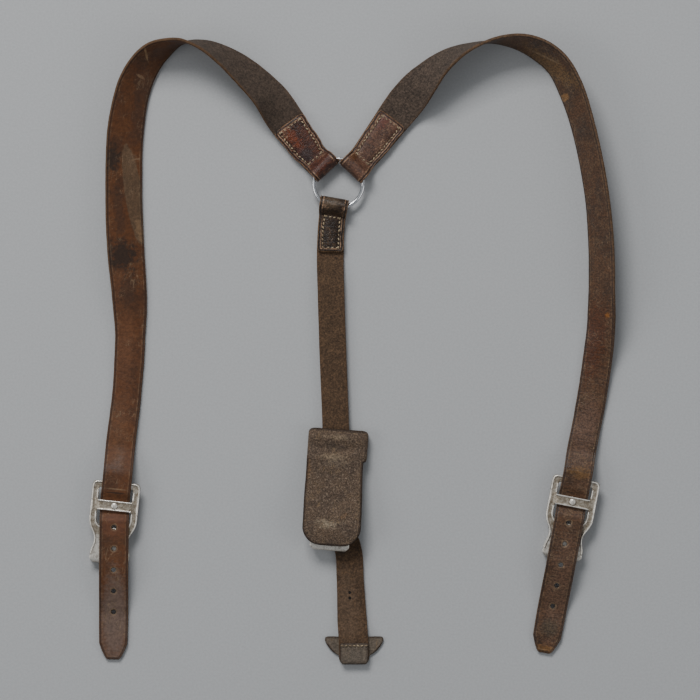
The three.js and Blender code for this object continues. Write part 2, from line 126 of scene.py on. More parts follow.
def settle(piece):   # what its modifiers make becomes its plain mesh
    bpy.context.view_layer.update()
    seen = piece.evaluated_get(bpy.context.evaluated_depsgraph_get())
    mesh = bpy.data.meshes.new_from_object(seen)
    spent = piece.data
    piece.modifiers.clear()
    piece.data = mesh
    bpy.data.meshes.remove(spent)
    return piece


def vertexArray(piece):
    flat = np.zeros(len(piece.data.vertices) * 3)
    piece.data.vertices.foreach_get("co", flat)
    return flat.reshape(-1, 3) / mm


def setVertices(piece, points):
    piece.data.vertices.foreach_set("co", (np.asarray(points) * mm).ravel())
    piece.data.update()


def markLeather(piece, lay, trim):   # lay: along and across; trim: distance from an edge, and 1 on the grain side
    corners = np.zeros(len(piece.data.loops), int)
    piece.data.loops.foreach_get("vertex_index", corners)
    for name, values in (("lay", lay), ("trim", trim)):
        layer = piece.data.uv_layers.new(name=name)
        layer.data.foreach_set("uv", np.asarray(values, float)[corners].ravel())


def setPolishAndSheen(piece, values):   # how far handling has brightened the metal, with painted highlight on the hooks' neck, foot bend and knob, 0 to 1
    layer = piece.data.attributes.new("polishAndSheen", "FLOAT", "POINT")
    layer.data.foreach_set("value", np.broadcast_to(values, len(piece.data.vertices)).astype(float))


def feltTogether(piece, voxel, rounds):   # one continuous skin over joined shells
    remesh = piece.modifiers.new("skin", "REMESH")
    remesh.mode = "VOXEL"
    remesh.voxel_size = voxel * mm
    remesh.use_smooth_shade = True
    ease = piece.modifiers.new("ease", "SMOOTH")
    ease.factor = 0.5
    ease.iterations = rounds
    return settle(piece)


def joinShells(shells):   # (points, faces) pairs into one pair
    points, faces, count = [], [], 0
    for shellPoints, shellFaces in shells:
        points.extend(shellPoints)
        faces.extend([tuple(index + count for index in face) for face in shellFaces])
        count += len(shellPoints)
    return points, faces


def loftFaces(rows, around, closeEnds=True):   # rows of closed loops
    faces = []
    for row in range(rows - 1):
        for step in range(around):
            here = row * around + step
            ahead = row * around + (step + 1) % around
            faces.append((here, ahead, ahead + around, here + around))
    if closeEnds:
        faces.append(tuple(range(around))[::-1])
        faces.append(tuple(range((rows - 1) * around, rows * around)))
    return faces


# Node helpers
def connect(tree, node, sockets):   # a socket is linked and anything else becomes the value
    for key, value in sockets.items():
        if isinstance(value, bpy.types.NodeSocket):
            tree.links.new(value, node.inputs[key])
        else:
            node.inputs[key].default_value = value


def addNode(tree, kind, inputs=None, **settings):
    made = tree.nodes.new(kind)
    for key, value in settings.items():
        setattr(made, key, value)
    connect(tree, made, inputs or {})
    return made


def newGroup(name, kind, inputs, outputs):
    group = bpy.data.node_groups.new(name, kind)
    for title, socketType, value in inputs:
        socket = group.interface.new_socket(title, in_out="INPUT", socket_type=f"NodeSocket{socketType}")
        if value is not None:
            socket.default_value = value
    for title, socketType in outputs:
        group.interface.new_socket(title, in_out="OUTPUT", socket_type=f"NodeSocket{socketType}")
    return group, group.nodes.new("NodeGroupInput").outputs, group.nodes.new("NodeGroupOutput").inputs


def calc(tree, operation, first, second=0.0, third=0.0, clamp=False):
    made = addNode(tree, "ShaderNodeMath", {0: first, 1: second, 2: third}, operation=operation, use_clamp=clamp)
    return made.outputs[0]


def ramp(tree, value, low, high, toLow=0.0, toHigh=1.0):
    made = addNode(tree, "ShaderNodeMapRange", {0: value, 1: low, 2: high, 3: toLow, 4: toHigh},
                   interpolation_type="SMOOTHSTEP")
    return made.outputs[0]


def tint(tree, mask, first, second):
    first, second = (value if isinstance(value, bpy.types.NodeSocket) else (*value, 1.0)
                     for value in (first, second))
    return addNode(tree, "ShaderNodeMix", {0: mask, 6: first, 7: second}, data_type="RGBA").outputs[2]


def blendValue(tree, mask, first, second):
    return addNode(tree, "ShaderNodeMix", {0: mask, 2: first, 3: second}, data_type="FLOAT").outputs[0]


def vectorCalc(tree, operation, first, second):
    return addNode(tree, "ShaderNodeVectorMath", {0: first, 1: second}, operation=operation).outputs[0]


def lengthOf(tree, vector):
    return addNode(tree, "ShaderNodeVectorMath", {0: vector}, operation="LENGTH").outputs[1]


def noise(tree, vector, scale, detail, roughness=0.5, distortion=0.0):
    return addNode(tree, "ShaderNodeTexNoise", {
        "Vector": vector, "Scale": scale, "Detail": detail, "Roughness": roughness,
        "Distortion": distortion}).outputs[0]


def vectorOf(tree, x=0.0, y=0.0, z=0.0):
    return addNode(tree, "ShaderNodeCombineXYZ", {0: x, 1: y, 2: z}).outputs[0]


def turnedFrom(tree, vector, centre, turn):   # places measured from a centre, along and across a heading
    return addNode(tree, "ShaderNodeVectorRotate", {
        "Vector": vectorCalc(tree, "SUBTRACT", vector, centre),
        "Angle": calc(tree, "MULTIPLY", turn, -1.0)}, rotation_type="Z_AXIS").outputs[0]


def newMaterial(name):   # with its node tree, its shader and the places on a piece in millimetres
    material = bpy.data.materials.new(name)
    material.use_nodes = True
    tree = material.node_tree
    spot = addNode(tree, "ShaderNodeTexCoord").outputs["Object"]
    return material, tree, tree.nodes["Principled BSDF"], vectorCalc(tree, "MULTIPLY", spot, (1 / mm,) * 3)


def bumpOf(tree, height, strength, distance):
    return addNode(tree, "ShaderNodeBump", {
        "Strength": strength, "Distance": distance * mm, "Height": height}).outputs[0]


# Shared effects
def buildMottle():   # cloudy patches about as large as Size
    group, take, give = newGroup("mottle", "ShaderNodeTree", [
        ("Vector", "Vector", None), ("Size", "Float", 10.0),
        ("From", "Float", 0.45), ("To", "Float", 0.6)], [("Mask", "Float")])
    cloud = noise(group, take["Vector"], calc(group, "DIVIDE", 1.0, take["Size"]), 5.0, 0.62)
    group.links.new(ramp(group, cloud, take["From"], take["To"]), give["Mask"])
    return group


def buildGrain():   # pores of the hair side
    group, take, give = newGroup("hairSideGrain", "ShaderNodeTree", [
        ("Vector", "Vector", None), ("Pore", "Float", 1.0)],
        [("Height", "Float"), ("Pits", "Float")])
    scale = calc(group, "DIVIDE", 1.0, take["Pore"])
    cells = addNode(group, "ShaderNodeTexVoronoi", {"Vector": take["Vector"], "Scale": scale}).outputs[0]
    fine = noise(group, take["Vector"], 1.9, 4.0, 0.7)
    group.links.new(calc(group, "MULTIPLY_ADD", cells, -0.6, fine), give["Height"])
    group.links.new(ramp(group, cells, 0.32, 0.08), give["Pits"])
    return group


def buildNap():   # short fibres of the flesh side
    group, take, give = newGroup("fleshSideNap", "ShaderNodeTree", [
        ("Vector", "Vector", None), ("Fibre", "Float", 1.2)],
        [("Height", "Float"), ("Tone", "Float")])
    scale = calc(group, "DIVIDE", 1.0, take["Fibre"])
    fibres = noise(group, take["Vector"], scale, 6.0, 0.78, 0.6)
    clumps = noise(group, take["Vector"], 0.16, 4.0, 0.65)
    tone = calc(group, "MULTIPLY_ADD", clumps, 0.25, calc(group, "MULTIPLY", fibres, 0.85))
    group.links.new(fibres, give["Height"])
    group.links.new(ramp(group, tone, 0.42, 0.68), give["Tone"])
    return group


def buildOvalMark():   # one soft-edged oval with a ragged outline
    group, take, give = newGroup("ovalMarkGroup", "ShaderNodeTree", [
        ("Vector", "Vector", None), ("Centre", "Vector", None),
        ("Size", "Vector", None), ("Turn", "Float", 0.0),
        ("Rag", "Float", 0.5), ("Soft", "Float", 0.5)], [("Mask", "Float")])
    turned = turnedFrom(group, take["Vector"], take["Centre"], take["Turn"])
    level = vectorCalc(group, "MULTIPLY", turned, (1, 1, 0))
    reach = lengthOf(group, vectorCalc(group, "DIVIDE", level, take["Size"]))
    ragged = noise(group, take["Vector"], 0.3, 5.0, 0.7)
    lift = calc(group, "MULTIPLY", calc(group, "SUBTRACT", ragged, 0.5), take["Rag"])
    total = calc(group, "MULTIPLY_ADD", lift, 3.0, reach)
    inside = calc(group, "SUBTRACT", 1.0, take["Soft"])
    group.links.new(ramp(group, total, 1.0, inside), give["Mask"])
    return group


def buildScratches():   # thin wandering lines that mostly run one way
    group, take, give = newGroup("scratches", "ShaderNodeTree", [
        ("Vector", "Vector", None), ("Turn", "Float", 0.0),
        ("Length", "Float", 22.0), ("Spread", "Float", 3.5),
        ("Width", "Float", 0.02)], [("Mask", "Float")])
    turned = addNode(group, "ShaderNodeVectorRotate", {
        "Vector": take["Vector"], "Angle": take["Turn"]}, rotation_type="Z_AXIS").outputs[0]
    sizes = vectorOf(group, calc(group, "DIVIDE", 1.0, take["Spread"]),
                     calc(group, "DIVIDE", 1.0, take["Length"]), 0.3)
    lines = noise(group, vectorCalc(group, "MULTIPLY", turned, sizes), 1.0, 1.5)
    off = calc(group, "ABSOLUTE", calc(group, "SUBTRACT", lines, 0.5))
    here = ramp(group, noise(group, take["Vector"], 0.09, 3.0), 0.52, 0.62)
    group.links.new(calc(group, "MULTIPLY", ramp(group, off, take["Width"], 0.0), here), give["Mask"])
    return group


def buildSpecks():   # scattered dots
    group, take, give = newGroup("specks", "ShaderNodeTree", [
        ("Vector", "Vector", None), ("Spacing", "Float", 6.0),
        ("Dot", "Float", 0.16)], [("Mask", "Float")])
    cells = addNode(group, "ShaderNodeTexVoronoi", {
        "Vector": take["Vector"], "Scale": calc(group, "DIVIDE", 1.0, take["Spacing"])})
    chosen = addNode(group, "ShaderNodeSeparateColor", {0: cells.outputs[1]}).outputs[0]
    size = calc(group, "MULTIPLY", take["Dot"], calc(group, "POWER", chosen, 2.0))
    group.links.new(ramp(group, cells.outputs[0], size, 0.0), give["Mask"])
    return group


def buildWrinkles():   # fine folds across a strap, from its lay; the Mask, dark in the fold valleys, is painted shade
    group, take, give = newGroup("crossWrinkles", "ShaderNodeTree", [
        ("Lay", "Vector", None), ("Pitch", "Float", 1.6),
        ("Reach", "Float", 13.0)], [("Height", "Float"), ("Mask", "Float")])
    sizes = vectorOf(group, calc(group, "DIVIDE", 1.0, take["Pitch"]),
                     calc(group, "DIVIDE", 1.0, take["Reach"]), 1.0)
    folds = noise(group, vectorCalc(group, "MULTIPLY", take["Lay"], sizes), 1.0, 3.0, 0.6, 0.4)
    group.links.new(folds, give["Height"])
    group.links.new(ramp(group, folds, 0.5, 0.38), give["Mask"])
    return group


def buildTrim():   # raw cut edge, the creaser's dark line beside it and a painted highlight on the ridge inside that
    group, take, give = newGroup("edgeTrim", "ShaderNodeTree", [
        ("Rim", "Float", 5.0), ("Vector", "Vector", None),
        ("Raw Width", "Float", 0.6), ("Line At", "Float", 1.35),
        ("Line Width", "Float", 0.66)],
        [("Raw", "Float"), ("Line", "Float"), ("RidgeHighlight", "Float"),
         ("EdgeDark", "Float")])
    uneven = noise(group, take["Vector"], 0.22, 5.0, 0.65)
    lift = calc(group, "SUBTRACT", uneven, 0.5)
    shifted = calc(group, "MULTIPLY_ADD", lift, 1.6, take["Rim"])
    shallow = calc(group, "MULTIPLY_ADD", lift, 0.5, take["Rim"])
    line, ridge = (ramp(group, calc(group, "ABSOLUTE", calc(
        group, "SUBTRACT", shallow, calc(group, "ADD", take["Line At"], further))), take["Line Width"], 0.0)
        for further in (0.0, 1.15))
    group.links.new(ramp(group, shifted, take["Raw Width"], 0.15), give["Raw"])
    group.links.new(line, give["Line"])
    group.links.new(calc(group, "MULTIPLY", ridge, ramp(group, uneven, 0.4, 0.58)), give["RidgeHighlight"])
    # the leather is darker within about 3 mm of an edge
    group.links.new(ramp(group, shifted, 3.2, 0.4), give["EdgeDark"])
    return group


def buildPunchRings():   # painted highlight ring and painted shade in the hollow round each free hole of a tail
    group, take, give = newGroup("punchRings", "ShaderNodeTree", [
        ("Vector", "Vector", None), ("Stud", "Vector", None),
        ("Turn", "Float", 0.0)], [("Ring", "Float"), ("Hollow", "Float")])
    parts = addNode(group, "ShaderNodeSeparateXYZ", {
        0: turnedFrom(group, take["Vector"], take["Stud"], take["Turn"])}).outputs
    near = calc(group, "WRAP", parts[0], holePitch / 2, -holePitch / 2)
    rough = calc(group, "SUBTRACT", noise(group, take["Vector"], 0.55, 3.0), 0.5)
    reach = calc(group, "MULTIPLY_ADD", rough, 2.2, lengthOf(group, vectorOf(group, near, parts[1])))
    fromMiddle = calc(group, "ABSOLUTE", calc(group, "SUBTRACT", parts[0], holePitch * tailHoles / 2))
    onTail = calc(group, "LESS_THAN", fromMiddle, holePitch * (tailHoles - 1) / 2)
    ring = ramp(group, calc(group, "ABSOLUTE", calc(group, "SUBTRACT", reach, 2.5)), 0.9, 0.1)
    group.links.new(calc(group, "MULTIPLY", ring, onTail), give["Ring"])
    group.links.new(calc(group, "MULTIPLY", ramp(group, reach, 3.2, 1.7), onTail), give["Hollow"])
    return group


def buildTarnish():   # dull film on metal, thin where handling polishes it and where painted highlight brightens it
    group, take, give = newGroup("tarnish", "ShaderNodeTree", [
        ("Vector", "Vector", None), ("PolishAndSheen", "Float", 0.0)],
        [("Film", "Float"), ("Rub", "Float"), ("Height", "Float")])
    cloud = noise(group, take["Vector"], 0.35, 6.0, 0.7)
    pits = noise(group, take["Vector"], 1.8, 4.0, 0.75)
    film = calc(group, "MULTIPLY_ADD", take["PolishAndSheen"], -0.55, ramp(group, cloud, 0.36, 0.62), clamp=True)
    rub = calc(group, "MULTIPLY_ADD", ramp(group, pits, 0.62, 0.4), 0.35,
               calc(group, "MULTIPLY", take["PolishAndSheen"], 0.65), clamp=True)
    for value, title in ((film, "Film"), (rub, "Rub"), (pits, "Height")):
        group.links.new(value, give[title])
    return group


effects = {"mottle": buildMottle(), "grain": buildGrain(), "nap": buildNap(), "ovalMark": buildOvalMark(),
           "scratches": buildScratches(), "specks": buildSpecks(), "wrinkles": buildWrinkles(),
           "trim": buildTrim(), "rings": buildPunchRings(), "tarnish": buildTarnish()}


def useEffect(tree, name, inputs):
    made = tree.nodes.new("ShaderNodeGroup")
    made.node_tree = effects[name]
    connect(tree, made, inputs)
    return made.outputs


# Leathers
def deepened(colour, amount=1.35):   # the same brightness with more colour
    grey = 0.3 * colour[0] + 0.6 * colour[1] + 0.1 * colour[2]
    return tuple(max(0.002, grey + (part - grey) * amount) for part in colour)


def makeLeather(name, look):
    look = {key: deepened(value) if isinstance(value, tuple) and len(value) == 3 and key != "stainsAndPaintedLight" else value
            for key, value in look.items()}
    material, tree, shader, place = newMaterial(name)
    lay = addNode(tree, "ShaderNodeUVMap", uv_map="lay").outputs[0]
    trimMap = addNode(tree, "ShaderNodeSeparateXYZ", {
        0: addNode(tree, "ShaderNodeUVMap", uv_map="trim").outputs[0]}).outputs
    rim, side = trimMap[0], trimMap[1]

    grain = useEffect(tree, "grain", {"Vector": place, "Pore": look["pore"]})
    clouds = useEffect(tree, "mottle", {"Vector": place, "Size": look["cloud"], "From": 0.42, "To": 0.62})["Mask"]
    blots = useEffect(tree, "mottle", {"Vector": place, "Size": look["blot"], "From": 0.48, "To": 0.66})["Mask"]
    scratches = useEffect(tree, "scratches", {"Vector": place, "Turn": look["scratchTurn"]})["Mask"]
    scuffs = useEffect(tree, "scratches", {
        "Vector": place, "Turn": look["scratchTurn"] + 0.9, "Length": 6.0, "Spread": 1.3, "Width": 0.035})["Mask"]
    specks = useEffect(tree, "specks", {"Vector": place, "Spacing": look["speckSpacing"]})["Mask"]
    wrinkles = useEffect(tree, "wrinkles", {"Lay": lay})
    trim = useEffect(tree, "trim", {
        "Rim": rim, "Vector": place, "Raw Width": look["rawWidth"], "Line At": look["lineAt"]})
    speckle = useEffect(tree, "mottle", {"Vector": place, "Size": look["speckle"], "From": 0.3, "To": 0.7})["Mask"]

    hide = tint(tree, calc(tree, "MULTIPLY", clouds, look["cloudAmount"]), look["base"], look["dark"])
    hide = tint(tree, calc(tree, "MULTIPLY", blots, look["blotAmount"]), hide, look["light"])

    # stains, and some painted highlights and painted shades, each as a soft oval
    def withStainsAndPaintedLight(colour):
        for ovalMark in look.get("stainsAndPaintedLight", ()):
            mask = useEffect(tree, "ovalMark", {
                "Vector": place, "Centre": (*ovalMark["at"], 0), "Size": (*ovalMark["size"], 1),
                "Turn": math.radians(ovalMark.get("turn", 0)), "Rag": ovalMark.get("rag", 0.4),
                "Soft": ovalMark.get("soft", 0.6)})["Mask"]
            colour = tint(tree, calc(tree, "MULTIPLY", mask, ovalMark["amount"]), colour, deepened(ovalMark["colour"]))
        return colour

    # the wrinkle layer darkens the fold valleys as painted shade
    layers = [(wrinkles["Mask"], "wrinkleShade", "dark"), (grain["Pits"], "pitShade", "dark"),
              (scratches, "scratchShade", "scuffAndHighlight"), (scuffs, "scuffShade", "scuffAndHighlight"),
              (specks, "speckShade", "scuffAndHighlight"),
              (trim["EdgeDark"], "edgeDarkening", "dark"), (trim["Line"], "lineShade", "creaseLineAndShade"),
              # the ridge layer is a painted highlight; the scuff colour serves both real scuffs and painted
              # highlights
              (trim["RidgeHighlight"], "ridgeHighlight", "scuffAndHighlight")]
    if "tail" in look:
        stud, tailHeading = look["tail"]
        rings = useEffect(tree, "rings", {"Vector": place, "Stud": stud, "Turn": math.radians(tailHeading)})
        # painted shade in the hollow round each hole and a painted highlight ring on its lip
        layers += [(rings["Hollow"], "hollowShade", "creaseLineAndShade"), (rings["Ring"], "ringHighlight", "scuffAndHighlight")]
    hide = withStainsAndPaintedLight(hide)
    for mask, amount, colour in layers:
        hide = tint(tree, calc(tree, "MULTIPLY", mask, look[amount]), hide, look[colour])

    nap = useEffect(tree, "nap", {"Vector": place, "Fibre": look["fibre"]})
    flesh = tint(tree, nap["Tone"], look["fleshDark"], look["flesh"])
    if look["stainedFlesh"]:
        flesh = withStainsAndPaintedLight(flesh)
    flesh = tint(tree, calc(tree, "MULTIPLY", trim["EdgeDark"], 0.2), flesh, look["raw"])
    onGrain = ramp(tree, side, 0.35, 0.65)
    skin = tint(tree, onGrain, flesh, hide)
    skin = tint(tree, calc(tree, "MULTIPLY", trim["Raw"], look["rawAmount"]), skin, look["raw"])
    even = ramp(tree, speckle, 0.0, 1.0, look["speckleLow"], look["speckleHigh"])
    skin = addNode(tree, "ShaderNodeVectorMath", {0: skin, 3: even}, operation="SCALE").outputs[0]

    gloss = ramp(tree, clouds, 0.0, 1.0, look["rough"] + 0.08, look["rough"] - 0.06)
    gloss = calc(tree, "MULTIPLY_ADD", scratches, 0.12, gloss)
    gloss = calc(tree, "MULTIPLY_ADD", trim["Raw"], 0.2, gloss)
    relief = calc(tree, "MULTIPLY", grain["Height"], look["grainDepth"])
    relief = calc(tree, "MULTIPLY_ADD", wrinkles["Height"], look["wrinkleDepth"], relief)
    relief = calc(tree, "MULTIPLY_ADD", scratches, -0.08, relief)
    relief = calc(tree, "MULTIPLY_ADD", blots, 0.06, relief)
    height = blendValue(tree, onGrain, calc(tree, "MULTIPLY", nap["Height"], 0.5), relief)
    connect(tree, shader, {
        "Base Color": skin, "Roughness": blendValue(tree, onGrain, look["fleshRough"], gloss),
        "Normal": bumpOf(tree, height, 1.0, 1.0), "Specular IOR Level": look["shine"],
        "Coat Weight": look["coat"], "Coat Roughness": 0.32})
    return material


plainLook = {
    "base": (0.088, 0.043, 0.024), "dark": (0.028, 0.017, 0.012), "light": (0.135, 0.078, 0.048),
    "scuffAndHighlight": (0.20, 0.145, 0.10), "creaseLineAndShade": (0.018, 0.011, 0.008), "raw": (0.098, 0.062, 0.040),
    "flesh": (0.084, 0.064, 0.051), "fleshDark": (0.032, 0.025, 0.021),
    "pore": 1.0, "cloud": 26.0, "cloudAmount": 0.6, "blot": 6.0, "blotAmount": 0.35, "fibre": 1.3,
    "scratchTurn": 0.2, "scratchShade": 0.5, "speckSpacing": 7.0, "pitShade": 0.25, "wrinkleShade": 0.1,
    "edgeDarkening": 0.5, "lineShade": 0.6, "rawAmount": 0.75, "grainDepth": 0.12, "wrinkleDepth": 0.12,
    "rough": 0.5, "shine": 0.4, "scuffShade": 0.3, "rawWidth": 0.6, "lineAt": 1.35, "ridgeHighlight": 0.25,
    "speckle": 1.5, "speckleLow": 0.68, "speckleHigh": 1.25, "speckShade": 0.7, "hollowShade": 0.6,
    "ringHighlight": 0.5, "fleshRough": 0.95, "coat": 0.0, "stainedFlesh": False,
}


def tailOf(place):   # where a tail's row of holes starts in the frame, and its heading
    return (place["x"] + shift[0], place["y"] + shift[1], 0), place["tailHeading"]


leftLeather = makeLeather("leftStrapLeather", {
    **plainLook, "base": (0.082, 0.037, 0.020), "light": (0.125, 0.066, 0.038), "cloudAmount": 0.5,
    "blotAmount": 0.22, "ridgeHighlight": 0.35, "speckle": 2.2, "speckleLow": 0.8, "speckleHigh": 1.15,
    "rough": 0.57, "shine": 0.32, "tail": tailOf(leftHookAt), "stainsAndPaintedLight": (
        {"at": (-184, 20), "size": (13, 66), "turn": 2, "amount": 0.55, "colour": (0.125, 0.063, 0.039)},
        {"at": (-187, -66), "size": (12, 38), "turn": -4, "amount": 0.4, "colour": (0.125, 0.066, 0.040)},
        {"at": (-191, 152), "size": (8, 14), "amount": 0.85, "rag": 0.8, "colour": (0.024, 0.016, 0.012)},
        {"at": (-184, 76), "size": (16, 15), "turn": 20, "amount": 0.85, "rag": 0.8,
         "colour": (0.020, 0.014, 0.011)},
        {"at": (-179, 48), "size": (9, 20), "turn": -12, "amount": 0.6, "rag": 0.8, "colour": (0.03, 0.019, 0.014)},
        {"at": (-186, 112), "size": (5, 30), "turn": 3, "amount": 0.5, "rag": 0.8, "colour": (0.03, 0.019, 0.014)},
        {"at": (-174.5, 124), "size": (7, 42), "turn": 9, "amount": 0.9, "rag": 0.1, "soft": 0.07,
         "colour": (0.090, 0.060, 0.040)},
        {"at": (-176, 150), "size": (5, 14), "turn": 9, "amount": 0.5, "rag": 0.5, "colour": (0.13, 0.088, 0.06)},
        {"at": (-170, 96), "size": (4, 12), "turn": 12, "amount": 0.6, "rag": 0.9, "colour": (0.19, 0.125, 0.08)},
        {"at": (-164, 236), "size": (1.2, 9), "turn": 12, "amount": 0.8, "rag": 0.6, "colour": (0.24, 0.16, 0.10)},
        {"at": (-168.5, 218), "size": (4.5, 1.4), "turn": -30, "amount": 0.8, "rag": 0.9,
         "colour": (0.26, 0.18, 0.12)},
        {"at": (-172, 152.5), "size": (6, 0.9), "turn": 8, "amount": 0.7, "rag": 0.4,
         "colour": (0.16, 0.11, 0.075)},
        {"at": (-161, 222), "size": (9, 15), "turn": -35, "amount": 0.5, "colour": (0.10, 0.050, 0.029)},
        # painted highlight then painted shade where the strap bends over the hook's top bar
        {"at": (-188.5, -111), "size": (11.5, 0.8), "turn": -6, "amount": 0.7, "rag": 0.1,
         "colour": (0.17, 0.12, 0.08)},
        {"at": (-188.9, -114), "size": (11.5, 0.7), "turn": -6, "amount": 0.8, "rag": 0.1,
         "colour": (0.02, 0.013, 0.01)},
        {"at": (-190, -215), "size": (15, 52), "turn": -1, "amount": 0.75, "rag": 0.3,
         "colour": (0.136, 0.105, 0.090)},
        {"at": (-190, -140), "size": (12, 14), "amount": 0.35, "colour": (0.115, 0.055, 0.040)},
    )})
rightLeather = makeLeather("rightStrapLeather", {
    **plainLook, "base": (0.070, 0.038, 0.023), "dark": (0.026, 0.017, 0.012), "light": (0.11, 0.075, 0.050),
    "cloudAmount": 0.55, "blotAmount": 0.35, "wrinkleShade": 0.32, "wrinkleDepth": 0.4, "rough": 0.46,
    "scratchTurn": 2.2, "speckSpacing": 4.0, "tail": tailOf(rightHookAt), "ridgeHighlight": 0.45, "speckleLow": 0.6,
    "speckleHigh": 1.35, "stainsAndPaintedLight": (
        {"at": (158, 226), "size": (34, 9), "turn": -38, "amount": 0.65, "rag": 0.8,
         "colour": (0.135, 0.085, 0.046)},
        {"at": (169.5, 201.6), "size": (4.4, 3.4), "turn": 20, "amount": 0.85, "rag": 0.3, "soft": 0.3,
         "colour": (0.20, 0.115, 0.06)},
        {"at": (155, 233), "size": (17, 0.9), "turn": -27, "amount": 0.7, "rag": 0.15, "soft": 0.5,
         "colour": (0.20, 0.14, 0.09)},
        {"at": (203.4, 27.4), "size": (2.2, 3.2), "amount": 0.9, "rag": 0.5, "colour": (0.24, 0.11, 0.045)},
        {"at": (192, 6), "size": (14, 44), "turn": -8, "amount": 0.85, "colour": (0.056, 0.020, 0.009)},
        {"at": (187, -62), "size": (14, 34), "turn": -10, "amount": 0.6, "colour": (0.115, 0.073, 0.055)},
        {"at": (183, -98), "size": (13, 7), "turn": -10, "amount": 0.6, "colour": (0.14, 0.082, 0.042)},
        {"at": (165, -190), "size": (14, 60), "turn": -10, "amount": 0.65, "rag": 0.3,
         "colour": (0.105, 0.066, 0.048)},
        {"at": (158, -222), "size": (9, 9), "turn": -10, "amount": 0.7, "rag": 0.5,
         "colour": (0.062, 0.050, 0.036)},
        {"at": (154, -240), "size": (13, 5), "turn": -10, "amount": 0.6, "rag": 0.6, "colour": (0.19, 0.105, 0.05)},
    )})
backLeather = makeLeather("backStrapLeather", {
    **plainLook, "base": (0.078, 0.045, 0.027), "dark": (0.032, 0.021, 0.015), "light": (0.12, 0.080, 0.053),
    "stainedFlesh": True, "flesh": (0.108, 0.071, 0.047), "fleshDark": (0.036, 0.024, 0.017),
    "raw": (0.082, 0.050, 0.032),
    "rough": 0.6, "blot": 4.0, "stainsAndPaintedLight": (
        {"at": (-4, -208), "size": (12, 42), "turn": 4, "amount": 0.45, "rag": 0.8,
         "colour": (0.120, 0.086, 0.064)},
        {"at": (-9.5, -158), "size": (7, 9), "amount": 0.6, "rag": 0.8, "colour": (0.034, 0.025, 0.020)},
    )})
patchLook = {**plainLook, "cloud": 14.0, "cloudAmount": 0.7, "blot": 2.6, "blotAmount": 0.65, "rough": 0.36,
             "shine": 0.36, "coat": 0.05, "edgeDarkening": 0.35, "lineShade": 1.0, "lineAt": 1.45, "rawWidth": 1.0,
             "ridgeHighlight": 0.9, "scuffAndHighlight": (0.33, 0.225, 0.16), "raw": (0.20, 0.125, 0.08),
             "grainDepth": 0.25, "wrinkleDepth": 0.45,
             "wrinkleShade": 0.45, "rawAmount": 0.9, "speckSpacing": 3.2, "speckle": 1.1, "speckleLow": 0.55,
             "speckleHigh": 1.3, "scratchShade": 0.7, "scuffShade": 0.55}
leftPatchLeather = makeLeather("leftPatchLeather", {
    **patchLook, "base": (0.054, 0.020, 0.013), "dark": (0.016, 0.009, 0.008), "light": (0.11, 0.048, 0.030),
    "stainsAndPaintedLight": (
        # painted highlight on the glossy patch
        {"at": (-49, 171), "size": (6, 12), "turn": 38, "amount": 0.5, "rag": 1.2, "soft": 0.9,
         "colour": (0.16, 0.045, 0.020)},
        {"at": (-42, 163), "size": (5, 10), "turn": 38, "amount": 0.45, "rag": 1.2, "soft": 0.9,
         "colour": (0.15, 0.042, 0.020)},
        {"at": (-37, 155.5), "size": (8, 8), "turn": 40, "amount": 0.75, "rag": 0.5,
         "colour": (0.032, 0.022, 0.022)},
        {"at": (-26, 146), "size": (9, 5), "turn": 40, "amount": 0.5, "rag": 0.4, "colour": (0.08, 0.024, 0.014)},
    )})
rightPatchLeather = makeLeather("rightPatchLeather", {
    **patchLook, "base": (0.100, 0.054, 0.039), "dark": (0.033, 0.020, 0.016), "light": (0.18, 0.112, 0.080),
    "rough": 0.44, "stainsAndPaintedLight": (
        {"at": (24, 181), "size": (8, 5), "turn": 45, "amount": 0.6, "rag": 0.6, "colour": (0.12, 0.048, 0.038)},
        {"at": (2, 155), "size": (7, 4), "turn": 45, "amount": 0.3, "rag": 0.5, "colour": (0.15, 0.068, 0.032)},
        {"at": (12, 163), "size": (3, 5), "turn": 30, "amount": 0.5, "rag": 0.6, "colour": (0.045, 0.028, 0.022)},
    )})
backPatchLeather = makeLeather("backPatchLeather", {
    **patchLook, "base": (0.030, 0.017, 0.010), "dark": (0.009, 0.006, 0.004), "light": (0.072, 0.045, 0.028),
    "raw": (0.16, 0.10, 0.06), "coat": 0.08, "stainsAndPaintedLight": (
        # painted sheen on the loop
        {"at": (-18, 118), "size": (10, 7), "turn": -8, "amount": 0.8, "rag": 0.5, "colour": (0.10, 0.072, 0.050)},
    )})
